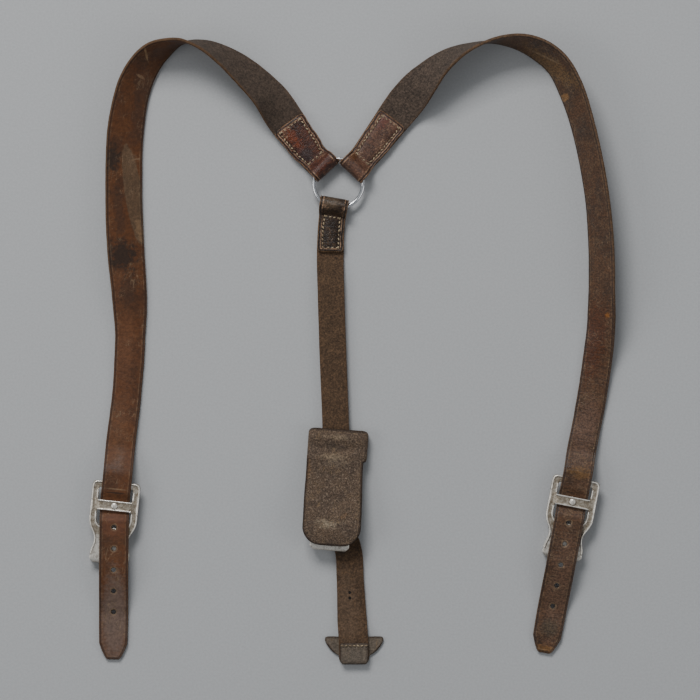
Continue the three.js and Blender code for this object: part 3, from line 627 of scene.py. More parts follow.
padLeather = makeLeather("padLeather", {
    **plainLook, "base": (0.105, 0.077, 0.058), "dark": (0.036, 0.026, 0.021), "light": (0.20, 0.158, 0.124),
    "rawWidth": 1.7, "scuffAndHighlight": (0.22, 0.16, 0.105), "cloud": 14.0, "cloudAmount": 0.45,
    "blot": 1.7, "blotAmount": 0.7, "pore": 1.5, "pitShade": 0.6, "grainDepth": 0.7, "speckle": 1.0,
    "speckleLow": 0.5, "speckleHigh": 1.45, "rough": 0.72, "shine": 0.3, "wrinkleDepth": 0.1,
    "speckSpacing": 4.5, "lineShade": 0.3, "rawAmount": 0.9, "raw": (0.030, 0.021, 0.016),
    "fleshDark": (0.045, 0.034, 0.026), "edgeDarkening": 0.6, "stainsAndPaintedLight": (
        {"at": (-6.4, -132.6), "size": (4, 3), "turn": 40, "amount": 0.35, "rag": 1.0, "soft": 0.9,
         "colour": (0.15, 0.085, 0.045)},
        # painted highlights on the sleeve's two ridges
        {"at": (-15, -85.3), "size": (13, 4.2), "turn": -4, "amount": 0.75, "rag": 0.7, "soft": 0.9,
         "colour": (0.26, 0.205, 0.15)},
        {"at": (-11.7, -69.5), "size": (15, 3.4), "turn": -4, "amount": 0.6, "rag": 0.8, "soft": 0.9,
         "colour": (0.22, 0.175, 0.13)},
        {"at": (-35.7, -95), "size": (3.5, 13), "turn": -4, "amount": 0.5, "rag": 0.8,
         "colour": (0.12, 0.070, 0.040)},
        # painted shade in the valley between the ridges
        {"at": (-12, -77.5), "size": (22, 3), "turn": -4, "amount": 0.5, "rag": 0.6,
         "colour": (0.035, 0.026, 0.02)},
        {"at": (-12, -90), "size": (14, 5), "turn": -4, "amount": 0.35, "rag": 0.9, "colour": (0.17, 0.14, 0.11)},
        # painted highlight on the flap's bulge
        {"at": (-19.5, -138.6), "size": (13, 4.4), "turn": -6, "amount": 0.75, "rag": 0.9, "soft": 0.9,
         "colour": (0.26, 0.22, 0.17)},
    )})
tabLeather = makeLeather("tabLeather", {
    **plainLook, "base": (0.130, 0.109, 0.089), "dark": (0.052, 0.042, 0.035), "light": (0.18, 0.152, 0.126),
    "rawWidth": 1.3, "cloud": 12.0, "cloudAmount": 0.4, "blot": 2.4, "blotAmount": 0.5, "pore": 1.2,
    "grainDepth": 0.35, "rough": 0.7, "shine": 0.3, "lineShade": 0.2, "rawAmount": 0.9,
    "raw": (0.035, 0.024, 0.018), "edgeDarkening": 0.3,
})
print("leathers mixed")


# Metals and thread
def makeMetal(name, look):
    material, tree, shader, place = newMaterial(name)
    polishAndSheen = addNode(tree, "ShaderNodeAttribute", attribute_name="polishAndSheen").outputs["Fac"]
    tarnish = useEffect(tree, "tarnish", {"Vector": place, "PolishAndSheen": polishAndSheen})
    scratches = useEffect(tree, "scratches", {
        "Vector": place, "Turn": look["scratchTurn"], "Length": 9.0, "Spread": 0.9, "Width": 0.03})["Mask"]
    colour = tint(tree, tarnish["Rub"], look["dull"], look["bright"])
    colour = tint(tree, calc(tree, "MULTIPLY", tarnish["Film"], look["film"]), colour, look["tarnish"])
    colour = tint(tree, calc(tree, "MULTIPLY", scratches, look["scratch"]), colour, look["bright"])
    # painted shade: faces turned away from the camera are tinted toward the tarnish colour
    turnedAway = addNode(tree, "ShaderNodeLayerWeight", {0: 0.5}).outputs["Facing"]
    limbShade = calc(tree, "MULTIPLY", ramp(tree, turnedAway, 0.15, 0.7), look["limbShade"])
    connect(tree, shader, {
        "Base Color": tint(tree, limbShade, colour, look["tarnish"]),
        "Roughness": ramp(tree, tarnish["Rub"], 0.0, 1.0, look["roughDull"], look["roughBright"]),
        "Normal": bumpOf(tree, tarnish["Height"], look["pitting"], 0.08), "Metallic": look["metallic"]})
    return material


hookMetal = makeMetal("agedNickel", {
    "dull": (0.30, 0.25, 0.18), "bright": (1.0, 0.95, 0.87), "tarnish": (0.15, 0.11, 0.07), "film": 0.8,
    "roughDull": 0.5, "roughBright": 0.26, "pitting": 0.5, "metallic": 0.55, "scratchTurn": 0.4,
    "scratch": 0.4, "limbShade": 0.45})
# the ring's tarnish colour serves mostly as its painted edge shade
ringMetal = makeMetal("ringSteel", {
    "dull": (0.60, 0.61, 0.63), "bright": (0.96, 0.96, 0.97), "tarnish": (0.13, 0.13, 0.14), "film": 0.08,
    "roughDull": 0.3, "roughBright": 0.16, "pitting": 0.0, "metallic": 1.0, "scratchTurn": 1.2,
    "scratch": 0.0, "limbShade": 0.75})


def makeThread(name, look):
    material, tree, shader, place = newMaterial(name)
    grime = useEffect(tree, "mottle", {"Vector": place, "Size": 5.0, "From": 0.4, "To": 0.66})["Mask"]
    twist = addNode(tree, "ShaderNodeTexWave", {"Vector": place, "Scale": 0.75, "Distortion": 2.0, "Detail": 2.0},
                    wave_type="BANDS", bands_direction="DIAGONAL")
    colour = tint(tree, grime, look["clean"], look["grimy"])
    twist = twist.outputs["Fac"]
    connect(tree, shader, {
        "Base Color": tint(tree, calc(tree, "MULTIPLY", twist, 0.45), colour, look["shade"]),
        "Normal": bumpOf(tree, twist, 0.8, 0.15), "Roughness": 0.8})
    return material


threadWax = makeThread("waxedThread", {
    "clean": (0.52, 0.41, 0.26), "grimy": (0.20, 0.14, 0.085), "shade": (0.10, 0.066, 0.04)})
print("metals and thread mixed")


# Rules that repeat: stitches and punched holes
def dressed(tree, placed, material):   # instances made real, in their material
    real = addNode(tree, "GeometryNodeRealizeInstances", {"Geometry": placed.outputs[0]})
    return addNode(tree, "GeometryNodeSetMaterial", {
        "Geometry": real.outputs[0], "Material": material}).outputs[0]


def buildStitching():
    tree, take, give = newGroup("stitching", "GeometryNodeTree", [
        ("Seam", "Geometry", None), ("Pitch", "Float", 3.0 * mm),
        ("Stitch Length", "Float", 2.2 * mm), ("Thread Radius", "Float", 0.56 * mm),
        ("Arch", "Float", 0.34 * mm), ("Tilt", "Float", 0.6), ("Seed", "Int", 3),
        ("Thread", "Material", None)], [("Stitches", "Geometry")])
    half = calc(tree, "MULTIPLY", take["Stitch Length"], 0.5)
    back = calc(tree, "MULTIPLY", half, -1.0)
    start = vectorOf(tree, back)
    end = vectorOf(tree, half)
    line = addNode(tree, "GeometryNodeCurvePrimitiveLine", {"Start": start, "End": end})
    line = addNode(tree, "GeometryNodeResampleCurve", {"Curve": line.outputs[0], "Count": 6})
    factor = addNode(tree, "GeometryNodeSplineParameter").outputs["Factor"]
    bowl = calc(tree, "SUBTRACT", factor, 1.0)
    bowl = calc(tree, "MULTIPLY", factor, bowl)
    bowl = calc(tree, "MULTIPLY", bowl, -4.0)   # 0 to 1 to 0
    rise = calc(tree, "MULTIPLY", bowl, take["Arch"])
    lifted = addNode(tree, "GeometryNodeSetPosition", {
        "Geometry": line.outputs[0], "Offset": vectorOf(tree, 0.0, 0.0, rise)})
    plump = calc(tree, "MULTIPLY_ADD", bowl, 0.55, 0.5)
    circle = addNode(tree, "GeometryNodeCurvePrimitiveCircle", {"Resolution": 7, "Radius": take["Thread Radius"]})
    stitch = addNode(tree, "GeometryNodeCurveToMesh", {
        "Curve": lifted.outputs[0], "Profile Curve": circle.outputs[0], "Scale": plump, "Fill Caps": True})
    seam = addNode(tree, "GeometryNodeMeshToCurve", {"Mesh": take["Seam"]})
    points = addNode(tree, "GeometryNodeResampleCurve", {
        "Curve": seam.outputs[0], "Length": take["Pitch"]}, mode="LENGTH")
    tangent = addNode(tree, "GeometryNodeInputTangent").outputs[0]
    aligned = addNode(tree, "FunctionNodeAlignRotationToVector", {"Vector": tangent}, axis="X", pivot_axis="Z")
    less = calc(tree, "MULTIPLY", take["Tilt"], -1.0)
    swing = addNode(tree, "FunctionNodeRandomValue", {
        "Min": vectorOf(tree, 0.0, less, less),
        "Max": vectorOf(tree, 0.0, take["Tilt"], take["Tilt"]),
        "Seed": take["Seed"]}, data_type="FLOAT_VECTOR")
    tilted = addNode(tree, "FunctionNodeRotateRotation", {
        "Rotation": aligned.outputs[0],
        "Rotate By": addNode(tree, "FunctionNodeEulerToRotation", {0: swing.outputs[0]}).outputs[0]},
        rotation_space="LOCAL")
    placed = addNode(tree, "GeometryNodeInstanceOnPoints", {
        "Points": points.outputs[0], "Instance": stitch.outputs[0], "Rotation": tilted.outputs[0]})
    tree.links.new(dressed(tree, placed, take["Thread"]), give["Stitches"])
    return tree


def buildPunch():
    tree, take, give = newGroup("punchRow", "GeometryNodeTree", [
        ("Base", "Geometry", None), ("Start", "Vector", None),
        ("Step", "Vector", None), ("Count", "Int", 6),
        ("Radius", "Float", 1.8 * mm), ("Leather", "Material", None)],
        [("Punches", "Geometry")])
    row = addNode(tree, "GeometryNodeMeshLine", {
        "Count": take["Count"], "Start Location": take["Start"], "Offset": take["Step"]})
    punch = addNode(tree, "GeometryNodeMeshCylinder", {"Vertices": 26, "Radius": take["Radius"], "Depth": 30 * mm})
    placed = addNode(tree, "GeometryNodeInstanceOnPoints", {
        "Points": row.outputs[0], "Instance": punch.outputs[0]})
    tree.links.new(dressed(tree, placed, take["Leather"]), give["Punches"])
    return tree


stitchRule = buildStitching()
punchRule = buildPunch()


def followRule(piece, rule, values):
    modifier = piece.modifiers.new(rule.name, "NODES")
    modifier.node_group = rule
    for item in rule.interface.items_tree:
        if item.item_type == "SOCKET" and item.in_out == "INPUT" and item.name in values:
            modifier[item.identifier] = values[item.name]
    return settle(piece)


def sewSeams(name, runs, body, replaced, **sizes):   # runs of 3-D points, one row of stitches along each
    points, edges = [], []
    for run in runs:
        first = len(points)
        points.extend(np.asarray(run) * mm)
        edges.extend((first + i, first + i + 1) for i in range(len(run) - 1))
    mesh = bpy.data.meshes.new(name)
    mesh.from_pydata([tuple(p) for p in points], edges, [])
    piece = addObject(name, mesh)
    followRule(piece, stitchRule, {"Thread": threadWax, **sizes})
    piece.data.polygons.foreach_set("use_smooth", [True] * len(piece.data.polygons))
    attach(piece, body)
    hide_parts(*replaced)
    return piece


# Straps
def splineSpan(points, i):   # centripetal spline between points i and i + 1
    here, ahead = points[i], points[i + 1]
    before = points[i - 1] if i > 0 else 2 * here - ahead
    beyond = points[i + 2] if i + 2 < len(points) else 2 * ahead - here
    d0, d1, d2 = (np.linalg.norm(b - a) ** 0.5 for a, b in ((before, here), (here, ahead), (ahead, beyond)))
    leave = ((here - before) / d0 - (ahead - before) / (d0 + d1) + (ahead - here) / d1) * d1
    arrive = ((ahead - here) / d1 - (beyond - here) / (d1 + d2) + (beyond - ahead) / d2) * d1
    square = -3 * here + 3 * ahead - 2 * leave - arrive
    cube = 2 * here - 2 * ahead + leave + arrive

    def at(t):
        t = t[:, None]
        return here + leave * t + square * t ** 2 + cube * t ** 3, leave + 2 * square * t + 3 * cube * t ** 2
    return at


def runCourse(rows, step):   # fine stations: plan, tangent, width, lean and height of the middle
    table = np.array([[*row] for row in rows], float)
    plan, tangents, rest = [], [], []
    for i in range(len(table) - 1):
        span = np.linalg.norm(table[i + 1, :2] - table[i, :2])
        count = max(2, math.ceil(span / step))
        last = i == len(table) - 2
        t = np.linspace(0, 1, count + 1)[:None if last else -1]
        where, along = splineSpan(table[:, :2], i)(t)
        plan.append(where)
        tangents.append(along / np.linalg.norm(along, axis=1)[:, None])
        eased = t * t * (3 - 2 * t)
        mixed = table[i, 2:] + np.outer(t, table[i + 1, 2:] - table[i, 2:])
        mixed[:, 2] = table[i, 4] + eased * (table[i + 1, 4] - table[i, 4])
        rest.append(mixed)
    plan, tangents, rest = np.vstack(plan), np.vstack(tangents), np.vstack(rest)
    travelled = np.concatenate([[0], np.cumsum(np.linalg.norm(np.diff(plan, axis=0), axis=1))])
    fromEnd = travelled[-1] - travelled
    keep = 1 - easeBetween(fromEnd, 14, 24)
    width = softened(rest[:, 0], 14, keep)
    lean = np.radians(softened(rest[:, 1], 60))
    flat = leather / 2 * np.abs(np.cos(lean)) + width / 2 * np.abs(np.sin(lean))
    twisted = easeBetween(np.abs(np.sin(lean)), 0.0, 0.2)
    height = rest[:, 2] + np.maximum(flat, softened(flat, 12, 1 - twisted))
    return {"plan": plan, "tangent": tangents, "width": width, "lean": lean, "height": height, "at": travelled}


stationStep = 1.15     # along a strap
tailsBelow = -80       # the punched tails lie below this height in the plan
loopSlope = 50         # degrees that the folded end comes down at behind the ring
arcStations = 33       # round the ring's wire
patchCorner = 3.2


def loopShape(spec):   # the folded-back end: distance from the hinge point, height, width
    middle = boreRadius + leather / 2
    level = leather * 1.5 + gap
    slope = math.radians(loopSlope)
    arcStart = middle * math.sin(slope)
    arcTop = ringHeight + middle * math.cos(slope)
    flatFrom = arcStart + (arcTop - level) / math.tan(slope)
    reach = np.concatenate([np.arange(spec["patch"], flatFrom, -0.9), np.arange(flatFrom, arcStart, -0.7)])
    height = np.where(reach >= flatFrom, level, level + (flatFrom - reach) * math.tan(slope))
    height = np.maximum(softened(height, 5), level)
    angles = np.radians(np.linspace(90 - loopSlope, 270, arcStations + 1))[:-1]
    reach = np.concatenate([reach, middle * np.cos(angles)])
    height = np.concatenate([height, ringHeight + middle * np.sin(angles)])
    part = np.clip((reach - flatFrom) / (spec["patch"] - flatFrom), 0, 1)
    width = spec["width"] + (spec["patchEnd"] - spec["width"]) * np.sqrt(part)
    width -= spec["waist"] * hump(reach, 11.5, 5.0) * (np.arange(len(reach)) < len(reach) - 20)
    near = np.clip(patchCorner - (spec["patch"] - reach), 0, patchCorner)
    width -= 2 * (patchCorner - np.sqrt(patchCorner ** 2 - near ** 2))
    return reach, height, width, flatFrom


edgeSteps = (0.45, 0.8, 1.05, 1.3, 1.55, 2.0, 2.4, 2.7, 3.0, 3.5, 4.1, 4.6, 5.2)   # from the edge, grain side
fleshSteps = (0.4, 1.0, 2.2, 5.2)


def sectionRule():   # c0, c1, height in half thicknesses, grain share; across = c0 * half width + c1
    spots = [(-1, s, 1, 1) for s in edgeSteps] + [(f, -f * 5.2, 1, 1) for f in np.linspace(-1, 1, 11)[1:-1]]
    spots += [(1, -s, 1, 1) for s in reversed(edgeSteps)]
    spots += [(1, -0.2, 0.82, 0.75), (1, -0.03, 0.5, 0.5), (1, 0, 0.1, 0.5), (1, 0, -0.45, 0.5),
              (1, -0.12, -0.85, 0.3)]
    spots += [(1, -s, -1, 0) for s in fleshSteps] + [(-f, f * 5.2, -1, 0) for f in np.linspace(-1, 1, 11)[1:-1]]
    spots += [(-1, s, -1, 0) for s in reversed(fleshSteps)]
    spots += [(-1, 0.12, -0.85, 0.3), (-1, 0, -0.45, 0.5), (-1, 0, 0.1, 0.5), (-1, 0.03, 0.5, 0.5),
              (-1, 0.2, 0.82, 0.75)]
    return np.array(spots, float)


def punchHoles(piece, punches, hide):   # rows of cutters are taken out of the strap
    for number, punch in enumerate(punches):
        cutter = addPiece(f"{piece.name}Punch{number}", [(0, 0, 0), (1, 0, 0), (0, 1, 0)], [(0, 1, 2)], [])
        followRule(cutter, punchRule, {
            "Start": tuple((np.array([*punch["at"], 10.0]) + shift) * mm),
            "Step": tuple(np.array([*punch["step"], 0]) * mm),
            "Count": punch["count"], "Radius": punch["radius"] * mm, "Leather": hide})
        cut = piece.modifiers.new("punch", "BOOLEAN")
        cut.operation = "DIFFERENCE"
        cut.solver = "EXACT"
        cut.object = cutter
        settle(piece)
        bpy.data.objects.remove(cutter)


def makeStrap(name, spec, materials):
    side = spec["side"]
    run = runCourse(spec["course"], stationStep)
    reach, loopHeight, loopWidth, flatFrom = loopShape(spec)
    inside = np.maximum(reach, 0)
    planAt = np.stack([np.interp(inside, run["at"], run["plan"][:, k]) for k in (0, 1)], 1)
    tangentAt = np.stack([np.interp(inside, run["at"], run["tangent"][:, k]) for k in (0, 1)], 1)
    planAt += tangentAt * np.minimum(reach, 0)[:, None]
    loops = len(reach)

    plan = np.vstack([planAt, run["plan"]])
    tangent = np.vstack([tangentAt, run["tangent"]])
    height = np.concatenate([loopHeight, run["height"]])
    width = np.concatenate([loopWidth, run["width"]])
    lean = np.concatenate([np.zeros(loops), run["lean"]])
    centre = np.column_stack([plan, height])
    inward = side * np.column_stack([-tangent[:, 1], tangent[:, 0], np.zeros(len(tangent))])
    across = inward * np.cos(lean)[:, None] + np.array([0, 0, 1.0]) * np.sin(lean)[:, None]
    forward = np.gradient(centre, axis=0)
    forward[1:-1] = centre[2:] - centre[:-2]
    forward /= np.linalg.norm(forward, axis=1)[:, None]
    across -= forward * np.sum(forward * across, axis=1)[:, None]
    across /= np.linalg.norm(across, axis=1)[:, None]
    grainWay = -side * np.cross(forward, across)

    travelled = np.concatenate([[0], np.cumsum(np.linalg.norm(np.diff(centre, axis=0), axis=1))])
    along = travelled - travelled[loops]
    fromPatchEnd = travelled
    fromTip = travelled[-1] - travelled
    rounding = 0.7   # both ends are rubbed round over this length
    for ends in (fromPatchEnd, fromTip):
        pull = np.clip(rounding - ends, 0, rounding)
        width = width - 2 * (rounding - np.sqrt(np.maximum(rounding ** 2 - pull ** 2, 0))) * 0.8
    calm = np.minimum(easeBetween(along, 30, 60), easeBetween(fromTip, 150, 200)) if spec["hook"] else 0.4
    width = width + 0.35 * wander(along, spec["seed"]) * calm

    rule = sectionRule()
    half = width[:, None] / 2
    tight = np.clip((half - 0.4) / 5.6, 0.05, 1)
    a = rule[:, 0] * half + rule[:, 1] * tight
    rim = np.clip(half - np.abs(a), 0, None)
    onGrain = rule[:, 3] > 0.9
    patch = (np.arange(len(along)) < loops)[:, None]
    sewnFrom = flatFrom + 0.6
    flatPatch = patch & (np.concatenate([reach, np.zeros(len(along) - loops)]) > flatFrom)[:, None]
    n = rule[:, 2] * leather / 2 * np.ones_like(a)
    n -= onGrain * (0.16 + 0.34 * patch) * hump(rim, 1.3, 0.34)
    n -= onGrain * flatPatch * 0.35 * hump(rim, 2.7, 0.34)
    n -= onGrain * flatPatch * 0.5 * hump(rim, 4.1, 0.7)
    n += onGrain * flatPatch * 0.45 * easeBetween(rim, 4.8, 8.0)
    squeeze = np.minimum(easeBetween(fromTip, 0, 0.9), easeBetween(fromPatchEnd, 0, 0.9))[:, None]
    n *= 0.55 + 0.45 * squeeze
    cup = 0.45 * (calm if spec["hook"] else 0.0) * np.ones(len(along))
    n += cup[:, None] * (0.5 - (a / np.maximum(half, 1)) ** 2)
    atFold = np.concatenate([easeBetween(reach, 14, 2), easeBetween(run["at"], 12, 3)])[:, None]
    atFold = atFold * np.concatenate([np.ones(loops), 0.5 * np.ones(len(along) - loops)])[:, None]
    share = a / np.maximum(half, 1)
    plusFlare, minusFlare, skew, curl = spec["fold"]
    a = a + atFold * (plusFlare * easeBetween(share, 0.1, 1) - minusFlare * easeBetween(-share, 0.1, 1))
    a = a + flatPatch * 0.35 * share * wander(along, spec["seed"] + 4, ((19, 0.6), (8, 0.4)))[:, None]
    outward = np.column_stack([tangent, np.zeros(len(tangent))])[:, None, :]
    n = n + curl * atFold * easeBetween(share, 0.55, 1.0)
    slant = atFold * skew * easeBetween(-share * np.sign(skew), 0.0, 1.0) * np.sign(skew)
    points = (centre[:, None, :] + across[:, None, :] * a[:, :, None]
              - outward * slant[:, :, None]
              + grainWay[:, None, :] * n[:, :, None] + shift)

    if spec["hook"]:   # the leather sinks round each punched hole
        row = heading(spec["hook"]["tailHeading"])
        for i in range(tailHoles):
            spot = np.array([spec["hook"]["x"], spec["hook"]["y"]]) + row * holePitch * i + shift[:2]
            away = np.linalg.norm(points[:, :, :2] - spot, axis=2)
            dip = 0.10 * hump(away, 4.0, 0.9) - 0.42 * hump(away, 0, 2.7)
            dip = onGrain * dip * (points[:, :, 1] < tailsBelow)
            points += grainWay[:, None, :] * dip[:, :, None]

    around = len(rule)
    flatPoints = points.reshape(-1, 3)
    piece = addPiece(name, flatPoints, loftFaces(len(along), around), materials)
    lay = np.stack([np.repeat(along[:, None], around, 1), a], 2).reshape(-1, 2)
    ends = np.minimum(fromPatchEnd, fromTip)[:, None]
    trim = np.stack([np.minimum(rim, ends), np.broadcast_to(rule[:, 3], a.shape)], 2).reshape(-1, 2)
    markLeather(piece, lay, trim)
    for polygon in piece.data.polygons:
        polygon.material_index = 1 if polygon.vertices[0] // around < loops - 4 else 0

    punchHoles(piece, spec["punches"], materials[0])
    body = spec["body"]
    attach(piece, body)
    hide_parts(body)

    patchLast = spec["patch"] - 4.0

    def seamPoint(distance, share, above, inset=4.1):   # share -1 to 1 across the patch
        here = int(np.argmin(np.abs(reach[:loops - arcStations] - distance)))
        spot = centre[here] + across[here] * (loopWidth[here] / 2 - inset) * share
        height = loopHeight[here] + leather / 2 - 0.1 if above else 0.12
        return np.array([spot[0], spot[1], height]) + shift
    runs = []
    for above in (True, False):
        for share in (-1, 1):
            runs.append([seamPoint(d, share, above) for d in np.linspace(sewnFrom + 1, patchLast, 18)])
        runs.append([seamPoint(patchLast + 0.4, s, above) for s in np.linspace(-0.86, 0.86, 7)])
        runs.append([seamPoint(sewnFrom + 0.4, s, above) for s in np.linspace(-0.8, 0.8, 7)])
    prefix = body.split("_")[0]
    sewSeams(f"{prefix}Stitches", runs, body, [f"{prefix}_patch_seam", f"{prefix}_neck_seam"], Seed=spec["seed"])
    print(f"{name} cut, folded and sewn:", len(piece.data.polygons), "faces")
    return piece


hookSizes = {"top": 19.2, "topBar": 5.4, "crossbar": 8.0, "bottom": 46.6, "depth": 8.6, "sheet": 1.6, "rim": 0.6,
             "width": 38.3, "leg": 5.6, "shoulder": 11.0, "neck": 27.0, "neckAt": 28.0, "foot": 31.6,
             "footAt": 40.0, "opening": 17.5, "crossLift": 2.2}
crossBottom = hookSizes["depth"] - hookSizes["sheet"] + hookSizes["crossLift"]
overBar = hookSizes["depth"] + gap
underCross = crossBottom - gap - leather
overPlate = hookSizes["depth"] + hookSizes["rim"] + gap
rearHookAt = {"x": -13.8, "y": -113.2, "turn": -5.0}
padSizes = {"wall": 2.2, "turn": -4.0, "x": -11.6, "y": -87.8, "width": 48.0, "length": 25.0, "room": 4.6,
            "flapLength": 68.0, "hingeRise": 9.2}
rearFloor = padSizes["wall"] + leather + 2 * gap


def loopLead(angle, distance, width):
    spot = np.array([ringSizes["x"], ringSizes["y"]]) + heading(angle) * (hingeRadius + distance)
    return (spot[0], spot[1], width, 0, 0)


def buckleCourse(place):   # over the top bar, under the crossbar, over the plate, then down to the blunt point
    def at(distance, width, rise):
        way = heading(90 + place["turn"]) if distance > 0 else heading(place["tailHeading"])
        return (place["x"] + way[0] * abs(distance), place["y"] + way[1] * abs(distance), width, 180, rise)
    bar = hookSizes["top"] - hookSizes["topBar"] - 6 * gap
    cross = hookSizes["crossbar"] / 2
    return [at(hookSizes["top"] + 5, 23.4, overBar), at(bar, 23.4, overBar), at(cross + gap, 23.4, underCross),
            at(-cross - 4 * gap, 23.4, underCross), at(-13.4, 23.4, overPlate),
            at(-hookSizes["bottom"], 23.4, overPlate), at(-hookSizes["bottom"] - 44, 23.4, 0), at(-110, 22.6, 0),
            at(-119, 15, 0), at(-123, 10, 0)]


def tailPunches(place):
    step = heading(place["tailHeading"]) * holePitch
    return ({"at": (place["x"], place["y"]), "step": tuple(step), "count": tailHoles,
             "radius": 1.8},)


leftStrapSpec = {
    "side": 1, "width": 22.4, "patch": 45.5, "patchEnd": 28.6, "waist": 1.4,
    "fold": (0.2, 1.6, 0.0, 0.0), "body": "left_strap", "slot": "left_leather",
    "hook": leftHookAt, "seed": 1, "punches": tailPunches(leftHookAt),
    "course": [
        loopLead(133, 0, 22.4), loopLead(133, 13, 23.4), (-51.8, 183.2, 29.6, 4, 0), (-66.2, 203.6, 31, 33, 0),
        (-84.6, 221.7, 31, 44, 0), (-101, 234.2, 31, 58, 0), (-117.6, 242.9, 31, 73, 0), (-134.6, 246, 31, 90, 0),
        (-149, 241.4, 31, 114, 0), (-159.5, 234, 31, 131, 0), (-171.5, 215, 31, 145, 0),
        (-179.6, 180, 31, 154, 0), (-181.6, 130, 31, 158, 0), (-180, 80, 31, 158, 0), (-177.2, 44, 29, 162, 0),
        (-176.7, 14, 24, 175, 0), (-179.5, -34, 23.4, 180, 0), (-184.3, -74, 23.4, 180, 1.5),
        *buckleCourse(leftHookAt)]}
rightStrapSpec = {
    "side": -1, "width": 20.6, "patch": 50.0, "patchEnd": 25.6, "waist": 0.6,
    "fold": (2.6, 0.6, 0.0, 0.0), "body": "right_strap", "slot": "right_leather",
    "hook": rightHookAt, "seed": 2, "punches": tailPunches(rightHookAt),
    "course": [
        loopLead(46.5, 0, 20.6), loopLead(46.5, 13, 22.6), (42.6, 197.3, 29.6, 4, 0), (59, 216.2, 31, 40, 0),
        (69.6, 227, 31, 54, 0), (79.6, 234.4, 31, 64, 0), (92, 240.8, 31, 77, 0), (111.8, 246.6, 31, 90, 0),
        (133.4, 246, 31, 109, 0), (150, 239.6, 31, 121, 0), (164.2, 228.2, 31, 123, 0), (175.2, 208, 31, 125, 0),
        (185.4, 176, 31, 122, 0), (195, 128, 31, 122, 0), (199, 86, 31, 126, 0), (199.6, 44, 30, 128, 0),
        (199.2, 18, 25.4, 146, 0), (196.4, -10, 23.4, 172, 0), (190.3, -49, 23.4, 180, 0),
        (184.4, -78, 23.4, 180, 2.5), *buckleCourse(rightHookAt)]}


def backCourse():
    def at(distance, rise):
        way = heading(90 + rearHookAt["turn"]) * distance
        return (rearHookAt["x"] + way[0], rearHookAt["y"] + way[1], 21.4, 0, rise)
    aboveCross = rearFloor + hookSizes["sheet"] - hookSizes["crossLift"] + gap
    belowBar = rearFloor - gap - leather
    belowPlate = rearFloor - hookSizes["rim"] - gap - leather
    lift = padSizes["wall"] + gap
    return [loopLead(-100, 0, 21.4), loopLead(-100, 13, 21.4), (-16.8, 76, 21.4, 0, 0), (-16.2, 46, 21.4, 0, lift),
            (-14.6, -4, 21.4, 0, lift), (-12.4, -62, 21.4, 0, lift), at(19.2, belowBar), at(13.8, belowBar),
            at(4.3, aboveCross), at(-4.3, aboveCross), at(-13, belowPlate), (-9.6, -142, 21.4, 0, belowPlate),
            (-2.5, -159, 21.4, 0, 0), (-0.8, -184, 21.6, 0, 0), (0.7, -216, 23.6, 0, 0),
            (1.6, -228.8, 23.6, 0, 1.9), (2.3, -247.1, 23.6, 0, 1.9)]


backStrapSpec = {
    "side": 1, "width": 21.4, "patch": 37.5, "patchEnd": 20.8, "waist": 0.6,
    "fold": (0.0, 1.4, 0.0, 0.0), "body": "back_strap", "slot": "back_leather",
    "hook": None, "seed": 3, "course": backCourse(),
    "punches": ({"at": (rearHookAt["x"], rearHookAt["y"]), "step": (0, 1), "count": 1, "radius": 1.8},
                {"at": (-1.2, -193.6), "step": (0.1, -4.4), "count": 2, "radius": 1.15})}

makeStrap("leftStrap", leftStrapSpec, [leftLeather, leftPatchLeather])
makeStrap("rightStrap", rightStrapSpec, [rightLeather, rightPatchLeather])
makeStrap("backStrap", backStrapSpec, [backLeather, backPatchLeather])


# Ring
def makeRing():
    points = []
    for i in range(ringSizes["rings"]):
        turn = 2 * math.pi * i / ringSizes["rings"]
        degreesOff = (math.degrees(turn) - 18 + 180) % 360 - 180   # the weld sits just above the right side
        wire = ringSizes["wire"] / 2 * (1 + ringSizes["weld"] * 0.35 * math.exp(-(degreesOff / 3.2) ** 2)
                                        - 0.05 * math.exp(-((abs(degreesOff) - 7) / 2.4) ** 2))
        for j in range(ringSizes["facets"]):
            tilt = 2 * math.pi * j / ringSizes["facets"]
            reach = ringSizes["radius"] + wire * math.cos(tilt)
            spot = (reach * math.cos(turn), reach * math.sin(turn), wire * math.sin(tilt))
            points.append(ringMiddle + Vector(spot))
    count, facets = ringSizes["rings"], ringSizes["facets"]
    faces = []
    for i in range(count):
        for j in range(facets):
            here, ahead = i * facets, ((i + 1) % count) * facets
            faces.append((here + j, ahead + j, ahead + (j + 1) % facets, here + (j + 1) % facets))
    piece = addPiece("wireRing", points, faces, [ringMetal])
    setPolishAndSheen(piece, 0.75)
    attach(piece, "ring")
    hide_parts("ring")


makeRing()
print("ring welded")


# Belt hooks
def bezier(start, firstPull, lastPull, end, steps=8):
    t = np.linspace(0, 1, steps + 1)[1:, None]
    start, firstPull, lastPull, end = (np.array(p, float) for p in (start, firstPull, lastPull, end))
    pulled = 3 * (1 - t) ** 2 * t * firstPull + 3 * (1 - t) * t ** 2 * lastPull
    return list((1 - t) ** 3 * start + pulled + t ** 3 * end)


def frameEdge(inset):   # right side of the outline, from the top bar's middle down to the foot
    half, neck, foot = (hookSizes[key] / 2 - inset for key in ("width", "neck", "foot"))
    top = hookSizes["top"] - inset
    line = [np.array([0.0, top]), np.array([half - 4, top])]
    line += bezier((half - 4, top), (half - 1.5, top), (half, top - 1.5), (half, top - 4))
    line.append(np.array([half, -hookSizes["shoulder"]]))
    shoulder, neckAt, footAt = (-hookSizes[key] for key in ("shoulder", "neckAt", "footAt"))
    line += bezier((half, shoulder), (half, shoulder - 8), (neck, neckAt + 6), (neck, neckAt))
    line += bezier((neck, neckAt), (neck, neckAt - 5), (foot, footAt + 5), (foot, footAt))
    return line


